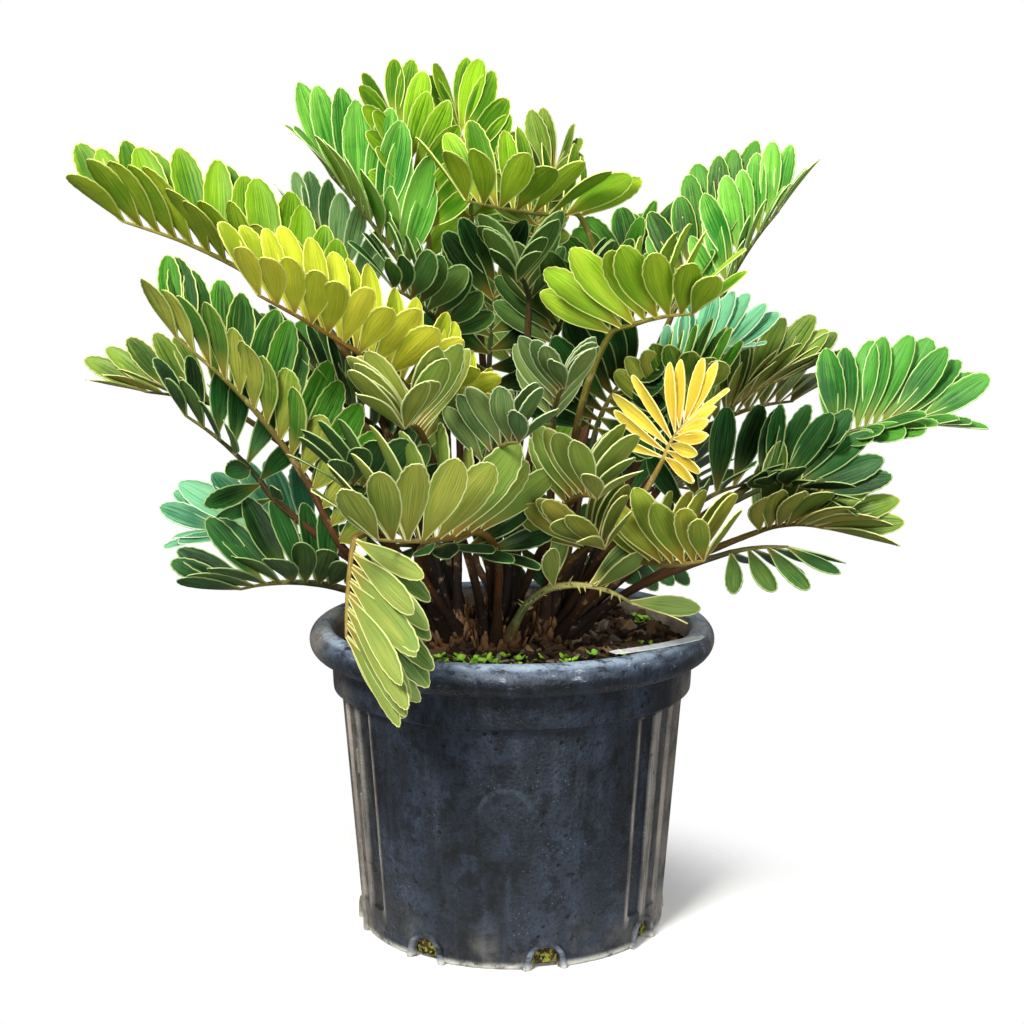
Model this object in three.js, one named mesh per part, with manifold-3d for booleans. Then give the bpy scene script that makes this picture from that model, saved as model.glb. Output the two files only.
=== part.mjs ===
// Cardboard palm (Zamia furfuracea) in its black plastic nursery pot.
// Millimetres, +Z up. The origin is the centre of the pot's flat underside,
// and the side that faces -Y is the front.
import * as THREE from 'three';
import { ConvexGeometry } from 'three/addons/geometries/ConvexGeometry.js';
import { mergeVertices } from 'three/addons/utils/BufferGeometryUtils.js';
import Module from 'manifold-3d';

const wasm = await Module();
wasm.setup();

// Driving dimensions
const gap = 0.3;
const pot = {
  height: 308, footRadius: 152, footBevel: 4, shoulderRadius: 171, shoulderHeight: 244,
  collarRadius: 179, rimRadius: 202, rimRoll: 16, rollTurns: [-80, -35, 0, 40, 90],
  wall: 3, floor: 4, sides: 28,
  grooveTurn: 9, grooveApart: 11, grooveDeep: 1.8, grooveLow: 34, grooveHigh: 236,
  grooveHeadings: [-64, 56, 176],
  notches: 8, notchFirst: 12, notchWide: 26, notchTall: 24, notchArch: 0.6, notchDeep: 30,
};
const soil = {
  height: 276, brim: 4, middle: 5, flatRadius: 140, loose: 2,
  mound: 16, moundX: 50, moundY: 60, moundSpread: 110, sides: 20,
};
const caudex = {
  sunk: 34, sides: 7, rings: 2, footX: -6, footY: 14, footRadius: 101, footTaper: 0.8,
  footShoulder: 0.9, shoulderLow: 6, shoulderHigh: 7, rise: 10,
};
const tag = { long: 112, wide: 14, thick: 0.8, x: 138, y: -118, turn: 36 };
const heads = {
  front: { x: -12, y: -34, radius: 26, top: 312 },
  left: { x: -58, y: -6, radius: 26, top: 310 },
  right: { x: 40, y: -8, radius: 26, top: 314 },
  back: { x: -6, y: 44, radius: 28, top: 322 },
  backLeft: { x: -62, y: 56, radius: 25, top: 312 },
  backRight: { x: 52, y: 54, radius: 26, top: 316 },
};
const rib = {
  footRadius: 4.8, bladeRadius: 4, tipRadius: 2, stalkSteps: 4, bladeSteps: 4,
  footLift: 0.25, footPull: 0.38, bladePull: 0.3,
};
const crowding = { rounds: 160, samples: 20, room: 1.4, push: 0.5, calm: 0.012, seated: 3 };
const leaf = {
  wide: 0.42, widestAt: 0.58, tipAt: 1, tipWide: 0.4, thick: 0.036, sunk: 0.4, spare: 0.4,
  twist: 36, sweepSpread: 5, foldSpread: 5, twistSpread: 5, lengthSpread: 0.07, shortEnds: 0.16,
  stagger: 0.12,
};

// Fronds. Places are where the leaflets begin and where the last pair sits; bow is how far
// the blade bulges upward between them; face is the way its V of leaflets opens; fold is how
// steeply each row stands in that V; sweep is the angle of the leaflets to the rib, first
// pair to last; twist turns their upper faces toward the foot; slim narrows the leaflets;
// split frees the stalk as a limb of its own.
const fronds = [
  { name: 'frond_left_high', head: 'left', start: [-180, 0, 598], tip: [-373, -20, 702], bow: 12,
    face: [0.1, -0.3, 0.95], fold: 54, sweep: [64, 46], twist: 10, pairs: 10, leaflet: 102, tint: 'lime' },
  { name: 'frond_left_gold', head: 'front', start: [-50, -80, 512], tip: [-222, -195, 642], bow: 6,
    face: [0.1, -0.34, 0.95], fold: 54, sweep: [98, 42], twist: 8, pairs: 10, leaflet: 86, tint: 'gold' },
  { name: 'frond_left_sage', head: 'front', start: [-80, -136, 506], tip: [-92, -256, 532], bow: 8,
    face: [-0.1, -0.2, 1], fold: 58, sweep: [80, 44], twist: 56, pairs: 7, leaflet: 86, tint: 'sage' },
  { name: 'frond_front_left', head: 'front', start: [-30, -164, 426], tip: [-116, -268, 438], bow: -4,
    face: [0, -0.25, 1], fold: 64, sweep: [126, 30], pairs: 8, leaflet: 104, tint: 'sage' },
  { name: 'frond_left_hanging', head: 'left', start: [-140, -206, 428], tip: [-146, -232, 345], bow: 6,
    face: [1, -0.3, 0.1], fold: 76, sweep: [56, 36], twist: 14, pairs: 6, leaflet: 110, tint: 'pale',
    slim: 0.68, split: true },
  { name: 'frond_left_mid', head: 'left', start: [-165, -85, 402], tip: [-310, -105, 597], bow: 16,
    face: [0.3, -0.22, 0.9], fold: 55, sweep: [72, 40], twist: 12, pairs: 10, leaflet: 94, tint: 'green' },
  { name: 'frond_left_under', head: 'left', start: [-232, -36, 436], tip: [-312, -58, 520], bow: 6,
    face: [-0.5, -0.2, 0.7], fold: 40, sweep: [80, 46], twist: 16, pairs: 5, leaflet: 76, tint: 'dark' },
  { name: 'frond_left_far', head: 'backLeft', start: [-280, 80, 504], tip: [-370, 62, 529], bow: 4,
    face: [0, -0.4, 1], fold: 46, sweep: [70, 26], twist: 24, pairs: 5, leaflet: 80, tint: 'olive' },
  { name: 'frond_left_teal', head: 'backLeft', start: [-204, 60, 376], tip: [-288, 44, 388], bow: 5,
    face: [-0.2, -0.5, 0.9], fold: 26, sweep: [62, 26], twist: 10, pairs: 5, leaflet: 94, tint: 'teal' },
  { name: 'frond_left_low', head: 'left', start: [-178, -40, 350], tip: [-262, -66, 352], bow: 5,
    face: [0.1, -0.35, 1], fold: 54, sweep: [84, 36], twist: 20, pairs: 6, leaflet: 90, tint: 'dark' },
  { name: 'frond_top_left', head: 'backLeft', start: [-108, 60, 652], tip: [-176, 28, 744], bow: 3,
    face: [0.4, -0.45, 0.7], fold: 46, sweep: [58, 30], twist: 18, pairs: 7, leaflet: 112, tint: 'fresh' },
  { name: 'frond_top', head: 'backLeft', start: [-86, 96, 690], tip: [-118, 84, 797], bow: 3,
    face: [0.1, -0.7, 0.6], fold: 38, sweep: [62, 28], twist: 12, pairs: 7, leaflet: 82, tint: 'lime' },
  { name: 'frond_top_mid', head: 'back', start: [-42, 140, 702], tip: [-56, 132, 802], bow: 3,
    face: [0.1, -0.7, 0.6], fold: 38, sweep: [66, 28], twist: 12, pairs: 6, leaflet: 82, tint: 'lime' },
  { name: 'frond_top_back', head: 'back', start: [24, 124, 684], tip: [44, 112, 752], bow: 3,
    face: [0, -0.6, 0.8], fold: 44, sweep: [76, 34], twist: 16, pairs: 5, leaflet: 76, tint: 'olive' },
  { name: 'frond_top_right', head: 'right', start: [66, 20, 706], tip: [-44, -55, 722], bow: -3,
    face: [0, -0.3, 0.9], fold: 54, sweep: [118, 52], twist: 22, pairs: 8, leaflet: 86, tint: 'lime' },
  { name: 'frond_top_dark', head: 'front', start: [16, -40, 628], tip: [4, -165, 652], bow: 10,
    face: [0, -0.1, 1], fold: 60, sweep: [74, 36], pairs: 6, leaflet: 76, tint: 'dark' },
  { name: 'frond_right_lime', head: 'right', start: [92, -90, 600], tip: [158, -190, 625], bow: 4,
    face: [0, -0.32, 1], fold: 58, sweep: [114, 34], twist: 26, pairs: 8, leaflet: 92, tint: 'lime' },
  { name: 'frond_right_upright', head: 'backRight', start: [165, 100, 606], tip: [231, 112, 713], bow: 4,
    face: [-0.4, -0.5, 0.6], fold: 40, sweep: [52, 26], twist: 18, pairs: 7, leaflet: 86, tint: 'green' },
  { name: 'frond_right_high', head: 'backRight', start: [210, 50, 626], tip: [262, 32, 711], bow: 4,
    face: [-0.4, -0.4, 0.7], fold: 42, sweep: [52, 30], twist: 16, pairs: 6, leaflet: 82, tint: 'fresh' },
  { name: 'frond_right_teal', head: 'backRight', start: [156, 44, 540], tip: [212, 10, 572], bow: 4,
    face: [-0.1, -0.5, 0.8], fold: 34, sweep: [62, 30], twist: 14, pairs: 6, leaflet: 80, tint: 'teal' },
  { name: 'frond_right_deep', head: 'right', start: [138, -24, 520], tip: [182, -92, 548], bow: 4,
    face: [0, -0.4, 0.9], fold: 58, sweep: [74, 34], twist: 26, pairs: 6, leaflet: 78, tint: 'green' },
  { name: 'frond_right_lean', head: 'backRight', start: [220, 92, 504], tip: [278, 84, 540], bow: 5,
    face: [-0.3, -0.3, 0.9], fold: 42, sweep: [48, 24], twist: 18, pairs: 6, leaflet: 88, tint: 'olive' },
  { name: 'frond_right_far', head: 'right', start: [318, 4, 489], tip: [396, -16, 508], bow: 5,
    face: [-0.1, -0.6, 0.8], fold: 38, sweep: [76, 34], twist: 14, pairs: 8, leaflet: 94, tint: 'fresh' },
  { name: 'frond_right_mid', head: 'right', start: [246, -22, 444], tip: [292, -50, 444], bow: 5,
    face: [-0.1, -0.5, 0.9], fold: 48, sweep: [76, 36], twist: 16, pairs: 6, leaflet: 90, tint: 'dark' },
  { name: 'frond_right_low', head: 'right', start: [240, -40, 404], tip: [300, -62, 411], bow: 5,
    face: [0, -0.3, 1], fold: 50, sweep: [72, 20], twist: 10, pairs: 6, leaflet: 90, tint: 'olive' },
  { name: 'frond_right_hanging', head: 'right', start: [208, -85, 392], tip: [260, -100, 400], bow: 2,
    face: [0.35, -0.1, -1], fold: 30, sweep: [82, 32], twist: 8, pairs: 3, leaflet: 76, tint: 'dark',
    slim: 0.8, split: true },
  { name: 'frond_front_right', head: 'right', start: [120, -150, 396], tip: [162, -290, 424], bow: -3,
    face: [0, -0.2, 1], fold: 60, sweep: [124, 36], pairs: 7, leaflet: 78, tint: 'pale' },
  { name: 'frond_front_mid', head: 'front', start: [50, -150, 448], tip: [72, -285, 476], bow: 6,
    face: [0.1, -0.2, 1], fold: 58, sweep: [84, 36], pairs: 6, leaflet: 78, tint: 'sage' },
  { name: 'frond_young', head: 'right', start: [136, -178, 496], tip: [156, -196, 532], bow: 3,
    face: [-0.2, -0.7, 0.6], fold: 30, sweep: [84, 14], twist: 18, pairs: 6, leaflet: 70, tint: 'young',
    slim: 0.62 },
  { name: 'frond_mid_sage', head: 'right', start: [38, -95, 520], tip: [46, -215, 562], bow: 8,
    face: [0, -0.2, 1], fold: 58, sweep: [72, 34], pairs: 6, leaflet: 70, tint: 'grey' },
  { name: 'frond_mid_grey', head: 'front', start: [-26, -150, 486], tip: [6, -255, 520], bow: 6,
    face: [0, -0.2, 1], fold: 58, sweep: [72, 34], pairs: 5, leaflet: 70, tint: 'grey' },
  { name: 'frond_broken', head: 'front', start: [36, -108, 362], tip: [112, -130, 352], bow: 9,
    face: [0.1, -0.2, 1], fold: 58, sweep: [70, 30], pairs: 3, leaflet: 74, tint: 'pale' },
  { name: 'frond_high_grey', head: 'backLeft', start: [-158, 100, 616], tip: [-206, 92, 694], bow: 4,
    face: [0.3, -0.5, 0.8], fold: 44, sweep: [58, 26], twist: 16, pairs: 5, leaflet: 72, tint: 'grey' },
  { name: 'frond_inner_high', head: 'left', start: [-64, 20, 590], tip: [-112, -60, 640], bow: 6,
    face: [0.1, -0.4, 0.9], fold: 50, sweep: [70, 32], pairs: 6, leaflet: 78, tint: 'dark' },
  { name: 'frond_inner_left', head: 'left', start: [-120, 30, 480], tip: [-196, -14, 540], bow: 6,
    face: [0.1, -0.4, 0.9], fold: 48, sweep: [70, 32], pairs: 6, leaflet: 82, tint: 'dark' },
  { name: 'frond_inner_low', head: 'left', start: [-112, -110, 440], tip: [-150, -200, 474], bow: 6,
    face: [0, -0.3, 1], fold: 52, sweep: [72, 34], pairs: 5, leaflet: 78, tint: 'dark' },
  { name: 'frond_inner_right', head: 'right', start: [84, 24, 496], tip: [116, -16, 556], bow: 6,
    face: [0, -0.8, 0.4], fold: 36, sweep: [80, 34], twist: 20, pairs: 6, leaflet: 98, tint: 'dark' },
  { name: 'frond_inner_mid', head: 'left', start: [-86, -90, 397], tip: [-22, -118, 400], bow: 4,
    face: [0, -0.6, 0.8], fold: 36, sweep: [64, 26], twist: 16, pairs: 4, leaflet: 86, tint: 'dark' },
  { name: 'frond_inner_top', head: 'back', start: [40, 40, 580], tip: [60, -40, 622], bow: 6,
    face: [0, -0.3, 1], fold: 52, sweep: [84, 40], pairs: 5, leaflet: 86, tint: 'dark' },
  { name: 'frond_inner_side', head: 'right', start: [178, 44, 408], tip: [244, 34, 440], bow: 6,
    face: [0, -0.5, 1], fold: 50, sweep: [84, 40], twist: 20, pairs: 4, leaflet: 90, tint: 'dark' },
  { name: 'frond_inner_front', head: 'front', start: [66, -120, 402], tip: [82, -215, 420], bow: 4,
    face: [-0.3, -0.2, 1], fold: 54, sweep: [82, 38], pairs: 5, leaflet: 76, tint: 'olive' },
  { name: 'frond_inner_core', head: 'back', start: [-24, 92, 530], tip: [-16, 74, 640], bow: 4,
    face: [0, -0.8, 0.3], fold: 32, sweep: [82, 30], twist: 20, pairs: 5, leaflet: 92, tint: 'dark' },
  { name: 'frond_inner_low_left', head: 'backLeft', start: [-62, 118, 352], tip: [-140, 130, 356], bow: 5,
    face: [0, -0.9, 0.3], fold: 22, sweep: [72, 40], twist: 20, pairs: 4, leaflet: 62, tint: 'dark' },
  { name: 'frond_inner_low_back', head: 'back', start: [-36, 134, 350], tip: [50, 136, 354], bow: 5,
    face: [0, -0.9, 0.3], fold: 22, sweep: [72, 40], twist: 20, pairs: 4, leaflet: 62, tint: 'dark' },
  { name: 'frond_inner_low_right', head: 'backRight', start: [72, 122, 352], tip: [150, 128, 356], bow: 5,
    face: [0, -0.9, 0.3], fold: 22, sweep: [72, 40], twist: 20, pairs: 4, leaflet: 62, tint: 'dark' },
  { name: 'frond_back_left_high', head: 'backLeft', start: [-90, 170, 640], tip: [-150, 290, 702], bow: 8,
    face: [0, 0.35, 1], fold: 50, sweep: [74, 30], pairs: 6, leaflet: 98, tint: 'lime' },
  { name: 'frond_back_high', head: 'back', start: [6, 210, 640], tip: [14, 330, 690], bow: 8,
    face: [0, 0.35, 1], fold: 50, sweep: [74, 30], pairs: 6, leaflet: 98, tint: 'fresh' },
  { name: 'frond_back_right_high', head: 'backRight', start: [100, 170, 606], tip: [170, 300, 656], bow: 8,
    face: [0, 0.35, 1], fold: 50, sweep: [74, 30], pairs: 6, leaflet: 98, tint: 'green' },
  { name: 'frond_back_left', head: 'backLeft', start: [-165, 150, 500], tip: [-282, 250, 545], bow: 8,
    face: [0, 0.3, 1], fold: 50, sweep: [74, 30], pairs: 6, leaflet: 98, tint: 'green' },
  { name: 'frond_back_right', head: 'backRight', start: [190, 160, 470], tip: [310, 236, 500], bow: 8,
    face: [0, 0.3, 1], fold: 50, sweep: [74, 30], pairs: 6, leaflet: 98, tint: 'olive' },
  { name: 'frond_back_mid', head: 'back', start: [4, 200, 540], tip: [20, 350, 575], bow: 8,
    face: [0, 0.3, 1], fold: 50, sweep: [74, 30], pairs: 6, leaflet: 98, tint: 'sage' },
  { name: 'frond_back_left_low', head: 'backLeft', start: [-110, 200, 400], tip: [-190, 330, 400], bow: 10,
    face: [0, 0.3, 1], fold: 48, sweep: [76, 30], pairs: 6, leaflet: 98, tint: 'sage' },
  { name: 'frond_back_low', head: 'back', start: [8, 220, 410], tip: [16, 375, 402], bow: 10,
    face: [0, 0.3, 1], fold: 48, sweep: [76, 30], pairs: 6, leaflet: 98, tint: 'lime' },
  { name: 'frond_back_right_low', head: 'backRight', start: [120, 200, 390], tip: [205, 325, 388], bow: 10,
    face: [0, 0.3, 1], fold: 48, sweep: [76, 30], pairs: 6, leaflet: 98, tint: 'dark' },
];

const tints = {
  lime: 0x8fb82f, gold: 0xb3bb35, sage: 0xa3b56a, pale: 0xb4bd72, green: 0x3f7d2f, olive: 0x7d9140,
  teal: 0x8fb9a6, dark: 0x2c5a30, fresh: 0x5fae45, grey: 0x74905f, young: 0xe6cf55,
};

const radians = THREE.MathUtils.degToRad;

// Seeded variation: the same plant each time
function seededRandom(seed) {
  let state = seed;
  return () => {
    state = (state * 16807) % 2147483647;
    return state / 2147483647;
  };
}

// Closed geometry to solid, and solid to geometry
function solidOf(geometry) {
  const bare = geometry.clone();
  bare.deleteAttribute('normal');
  bare.deleteAttribute('uv');
  const merged = mergeVertices(bare, 1e-4);
  return new wasm.Manifold(new wasm.Mesh({
    numProp: 3,
    vertProperties: new Float32Array(merged.attributes.position.array),
    triVerts: new Uint32Array(merged.index.array),
  }));
}

// Fused leaflets can close off a pocket or leave a scrap: only the outer body is kept
function outerBody(solid) {
  const bodies = solid.decompose();
  return bodies.reduce((largest, body) => (body.volume() > largest.volume() ? body : largest));
}

function geometryOf(solid) {
  const mesh = outerBody(solid).getMesh();
  const geometry = new THREE.BufferGeometry();
  geometry.setAttribute('position', new THREE.BufferAttribute(mesh.vertProperties, 3));
  geometry.setIndex(new THREE.BufferAttribute(mesh.triVerts, 1));
  return geometry;
}

// Solid of revolution about Z from [radius, height] pairs that go up the outside
function turned(profile, sides, x = 0, y = 0) {
  const points = profile.map(([radius, height]) => new THREE.Vector2(radius, height));
  const geometry = new THREE.LatheGeometry(points, sides);
  geometry.rotateX(Math.PI / 2);
  geometry.translate(x, y, 0);
  return solidOf(geometry);
}

// Pot: tapering wall, collar, rolled rim, three pairs of upright grooves, notched foot
function outerRadius(height) {
  const share = height / pot.shoulderHeight;
  return THREE.MathUtils.lerp(pot.footRadius, pot.shoulderRadius, share);
}

function potSolid() {
  const rollHeight = pot.height - pot.rimRoll;
  const rollCentre = pot.rimRadius - pot.rimRoll;
  const roll = pot.rollTurns.map((turn) => [
    rollCentre + pot.rimRoll * Math.cos(radians(turn)),
    rollHeight + pot.rimRoll * Math.sin(radians(turn)),
  ]);
  const neck = rollHeight - pot.rimRoll;
  const inside = pot.collarRadius - pot.wall;
  const profile = [
    [0, 0],
    [pot.footRadius - pot.footBevel, 0],
    [pot.footRadius, pot.footBevel],
    [pot.shoulderRadius, pot.shoulderHeight],
    [pot.collarRadius, pot.shoulderHeight + pot.wall],
    [pot.collarRadius, neck],
    ...roll,
    [inside + pot.wall, rollHeight + pot.rimRoll / 2],
    [inside, neck],
    [inside, pot.shoulderHeight + 2 * pot.wall],
    [pot.shoulderRadius - pot.wall, pot.shoulderHeight],
    [pot.footRadius - pot.wall, pot.floor],
    [0, pot.floor],
  ];
  let solid = turned(profile, pot.sides);
  for (const heading of pot.grooveHeadings) {
    for (const side of [-1, 1]) {
      solid = solid.subtract(grooveCutter(heading + (side * pot.grooveApart) / 2));
    }
  }
  for (let i = 0; i < pot.notches; i += 1) {
    solid = solid.subtract(notchCutter(pot.notchFirst + (i * 360) / pot.notches));
  }
  return solid;
}

// Heading 0 is the front (-Y) and turns toward +X
function headingFrame(heading, radius, height) {
  const a = radians(heading);
  return new THREE.Matrix4()
    .makeRotationZ(a)
    .setPosition(radius * Math.sin(a), -radius * Math.cos(a), height);
}

function grooveCutter(heading) {
  const middle = (pot.grooveLow + pot.grooveHigh) / 2;
  const tall = pot.grooveHigh - pot.grooveLow;
  const wide = outerRadius(middle) * radians(pot.grooveTurn);
  const box = new THREE.BoxGeometry(wide, 2 * pot.grooveDeep, tall);
  box.rotateX(Math.atan2(pot.shoulderRadius - pot.footRadius, pot.shoulderHeight));
  box.applyMatrix4(headingFrame(heading, outerRadius(middle), middle));
  return solidOf(box);
}

function notchCutter(heading) {
  const half = pot.notchWide / 2;
  const spring = pot.notchTall * pot.notchArch;
  const arch = new THREE.Shape();
  arch.moveTo(-half, -pot.floor);
  arch.lineTo(half, -pot.floor);
  arch.lineTo(half, spring);
  arch.lineTo(half * pot.notchArch, pot.notchTall);
  arch.lineTo(-half * pot.notchArch, pot.notchTall);
  arch.lineTo(-half, spring);
  const geometry = new THREE.ExtrudeGeometry(arch, { depth: pot.notchDeep, bevelEnabled: false });
  geometry.rotateX(Math.PI / 2);
  geometry.applyMatrix4(headingFrame(heading, pot.footRadius - pot.footBevel * 2, 0));
  return solidOf(geometry);
}

// Caudex: six scaly heads on one swollen stem, which sits in the bark up to its shoulder
function caudexFoot(grown = 0) {
  const low = soil.height - caudex.sunk - grown;
  return turned([
    [0, low],
    [caudex.footRadius * caudex.footTaper + grown, low],
    [caudex.footRadius + grown, soil.height - caudex.shoulderLow + grown],
    [caudex.footRadius * caudex.footShoulder + grown, soil.height + caudex.shoulderHigh + grown],
    [0, soil.height + caudex.rise + grown],
  ], caudex.sides * 2, caudex.footX, caudex.footY);
}

function caudexSolid(grown = 0) {
  let solid = caudexFoot(grown);
  for (const head of Object.values(heads)) {
    const crown = head.top - head.radius;
    const radius = head.radius + grown;
    const low = soil.height - caudex.shoulderLow;
    const profile = [[0, low], [radius * caudex.footShoulder, low]];
    for (let i = 0; i < caudex.rings; i += 1) {
      const a = (i / caudex.rings) * (Math.PI / 2);
      profile.push([radius * Math.cos(a), crown + radius * Math.sin(a)]);
    }
    profile.push([0, head.top + grown]);
    solid = solid.add(turned(profile, caudex.sides, head.x, head.y));
  }
  return solid;
}

// Potting bark: fills the pot to just under the rim, mounded behind the caudex, which
// stands in an opening of its own
function soilSolid() {
  const wallInside = (radius) => radius - pot.wall - soil.loose;
  const low = pot.floor + gap;
  const top = soil.height;
  const profile = [
    [0, low],
    [wallInside(pot.footRadius), low],
    [wallInside(pot.shoulderRadius), pot.shoulderHeight],
    [wallInside(pot.collarRadius), pot.shoulderHeight + 3 * pot.wall],
    [wallInside(pot.collarRadius), top - soil.brim],
    [soil.flatRadius, top],
    [soil.flatRadius / 2, top + soil.middle / 2],
    [0, top + soil.middle],
  ];
  const points = profile.map(([radius, height]) => new THREE.Vector2(radius, height));
  const geometry = new THREE.LatheGeometry(points, soil.sides);
  geometry.rotateX(Math.PI / 2);
  const place = geometry.attributes.position;
  for (let i = 0; i < place.count; i += 1) {
    if (place.getZ(i) > top - gap) {
      const away = Math.hypot(place.getX(i) - soil.moundX, place.getY(i) - soil.moundY);
      const rise = soil.mound * Math.exp(-((away / soil.moundSpread) ** 2));
      place.setZ(i, place.getZ(i) + rise);
    }
  }
  const shoulder = soil.height - caudex.shoulderLow;
  const shaft = turned([
    [0, shoulder],
    [caudex.footRadius + gap, shoulder],
    [caudex.footRadius + gap, pot.height],
    [0, pot.height],
  ], caudex.sides * 2, caudex.footX, caudex.footY);
  return solidOf(geometry).subtract(caudexFoot(gap)).subtract(shaft);
}

// Blank plastic plant tag, lying across the rim
function tagGeometry() {
  const geometry = new THREE.BoxGeometry(tag.long, tag.wide, tag.thick);
  geometry.rotateZ(radians(tag.turn));
  geometry.translate(tag.x, tag.y, pot.height + gap + tag.thick / 2);
  return geometry;
}

// The line of a frond: its stalk rises out of a head and runs on into the arching blade
function frondLine(frond) {
  const head = heads[frond.head];
  const start = new THREE.Vector3(...frond.start);
  const tip = new THREE.Vector3(...frond.tip);
  const chord = tip.clone().sub(start).normalize();
  const upward = new THREE.Vector3(0, 0, 1).projectOnPlane(chord).normalize();
  const crest = start.clone().add(tip).multiplyScalar(0.5).addScaledVector(upward, 2 * frond.bow);
  const blade = new THREE.QuadraticBezierCurve3(start, crest, tip);
  const centre = new THREE.Vector3(head.x, head.y, head.top - head.radius);
  const outward = start.clone().sub(centre).normalize();
  outward.z += rib.footLift;
  outward.normalize();
  const foot = centre.clone().addScaledVector(outward, head.radius);
  const reach = start.distanceTo(foot);
  const stalk = new THREE.CubicBezierCurve3(
    foot,
    foot.clone().addScaledVector(outward, reach * rib.footPull),
    start.clone().addScaledVector(blade.getTangent(0), -reach * rib.bladePull),
    start,
  );
  const stalkNodes = stalk.getPoints(rib.stalkSteps);
  const bladeNodes = blade.getPoints(rib.bladeSteps);
  return { head, centre, blade, stalkNodes, bladeNodes };
}

// Place on a line of nodes, at a share of its length in steps
function pointOn(nodes, share) {
  const steps = nodes.length - 1;
  const step = Math.min(steps - 1, Math.floor(share * steps));
  return nodes[step].clone().lerp(nodes[step + 1], share * steps - step);
}

// Stalks crowd each other: where two come too close both give way, and their feet
// slide round the head; blades stay where they are
function spreadStalks(lines) {
  const shares = Array.from({ length: crowding.samples + 1 }, (_, i) => i / crowding.samples);
  const radiusAt = (share) => THREE.MathUtils.lerp(rib.footRadius, rib.bladeRadius, share);
  const giveWay = (line, share, shift) => {
    const steps = line.stalkNodes.length - 1;
    const step = Math.min(steps - 1, Math.floor(share * steps));
    const part = share * steps - step;
    line.stalkNodes[step].addScaledVector(shift, 1 - part);
    if (step + 1 < steps) {
      line.stalkNodes[step + 1].addScaledVector(shift, part);
    }
  };
  const closest = (first, second) => {
    let best = null;
    first.forEach((a, i) => second.forEach((b, j) => {
      const away = a.distanceTo(b);
      if (!best || away < best.away) {
        best = { away, i, j };
      }
    }));
    return best;
  };
  for (let round = 0; round < crowding.rounds; round += 1) {
    const stalks = lines.map((line) => shares.map((share) => pointOn(line.stalkNodes, share)));
    const blades = lines.map((line) => shares.map((share) => pointOn(line.bladeNodes, share)));
    for (let m = 0; m < lines.length; m += 1) {
      for (let n = 0; n < lines.length; n += 1) {
        if (n < m) {
          const near = closest(stalks[m], stalks[n]);
          const need = radiusAt(shares[near.i]) + radiusAt(shares[near.j]) + crowding.room;
          if (near.away < need) {
            const shift = stalks[m][near.i].clone().sub(stalks[n][near.j]);
            shift.setLength((need - near.away) * crowding.push);
            giveWay(lines[m], shares[near.i], shift);
            giveWay(lines[n], shares[near.j], shift.negate());
          }
        }
        if (n !== m) {
          const near = closest(stalks[m], blades[n]);
          const need = radiusAt(shares[near.i]) + rib.bladeRadius + crowding.room;
          if (near.away < need) {
            const shift = stalks[m][near.i].clone().sub(blades[n][near.j]);
            giveWay(lines[m], shares[near.i], shift.setLength((need - near.away) * 2 * crowding.push));
          }
        }
      }
    }
    for (const line of lines) {
      const nodes = line.stalkNodes;
      for (let k = 1; k < nodes.length - 1; k += 1) {
        const middle = nodes[k - 1].clone().add(nodes[k + 1]).multiplyScalar(0.5);
        nodes[k].lerp(middle, crowding.calm * (1 - round / crowding.rounds));
      }
      nodes[0].sub(line.centre).setLength(line.head.radius - crowding.seated).add(line.centre);
    }
  }
}

// Three-sided tapering rib through its nodes, one side down, away from the face
function ribSolid(nodes, radii, face) {
  const positions = [];
  const index = [];
  const steps = nodes.length - 1;
  const side = new THREE.Vector3();
  const up = new THREE.Vector3();
  nodes.forEach((centre, i) => {
    const along = nodes[Math.min(steps, i + 1)].clone().sub(nodes[Math.max(0, i - 1)]).normalize();
    side.crossVectors(along, face).normalize();
    up.crossVectors(side, along);
    for (let k = 0; k < 3; k += 1) {
      const a = radians(90 + 120 * k);
      const corner = centre.clone()
        .addScaledVector(side, radii[i] * Math.cos(a))
        .addScaledVector(up, radii[i] * Math.sin(a));
      positions.push(...corner.toArray());
    }
  });
  for (let i = 0; i < steps; i += 1) {
    for (let k = 0; k < 3; k += 1) {
      const a = 3 * i + k;
      const b = 3 * i + ((k + 1) % 3);
      index.push(a, a + 3, b, b, a + 3, b + 3);
    }
  }
  const last = 3 * steps;
  index.push(0, 1, 2, last, last + 2, last + 1);
  const geometry = new THREE.BufferGeometry();
  geometry.setAttribute('position', new THREE.Float32BufferAttribute(positions, 3));
  geometry.setIndex(index);
  return solidOf(geometry);
}

// One leaflet: root sunk in the rib, widest past the middle, blunt tip, slightly keeled.
// Grown by a spare amount it is the room that the leaflet needs.
function leafletSolid({ root, along, across, normal, length, width }, spare = 0) {
  const corner = (distance, sideways, rise) => root.clone()
    .addScaledVector(along, distance)
    .addScaledVector(across, sideways)
    .addScaledVector(normal, rise);
  const outline = [
    [-leaf.sunk, 0],
    [length * leaf.widestAt, width / 2 + spare],
    [length * leaf.widestAt, -width / 2 - spare],
    [length * leaf.tipAt + spare, (width / 2) * leaf.tipWide + spare],
    [length * leaf.tipAt + spare, (-width / 2) * leaf.tipWide - spare],
  ];
  const corners = outline.map(([distance, sideways]) => corner(distance, sideways, -spare));
  corners.push(corner(length * leaf.widestAt, 0, length * leaf.thick + spare));
  return solidOf(new ConvexGeometry(corners));
}

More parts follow.
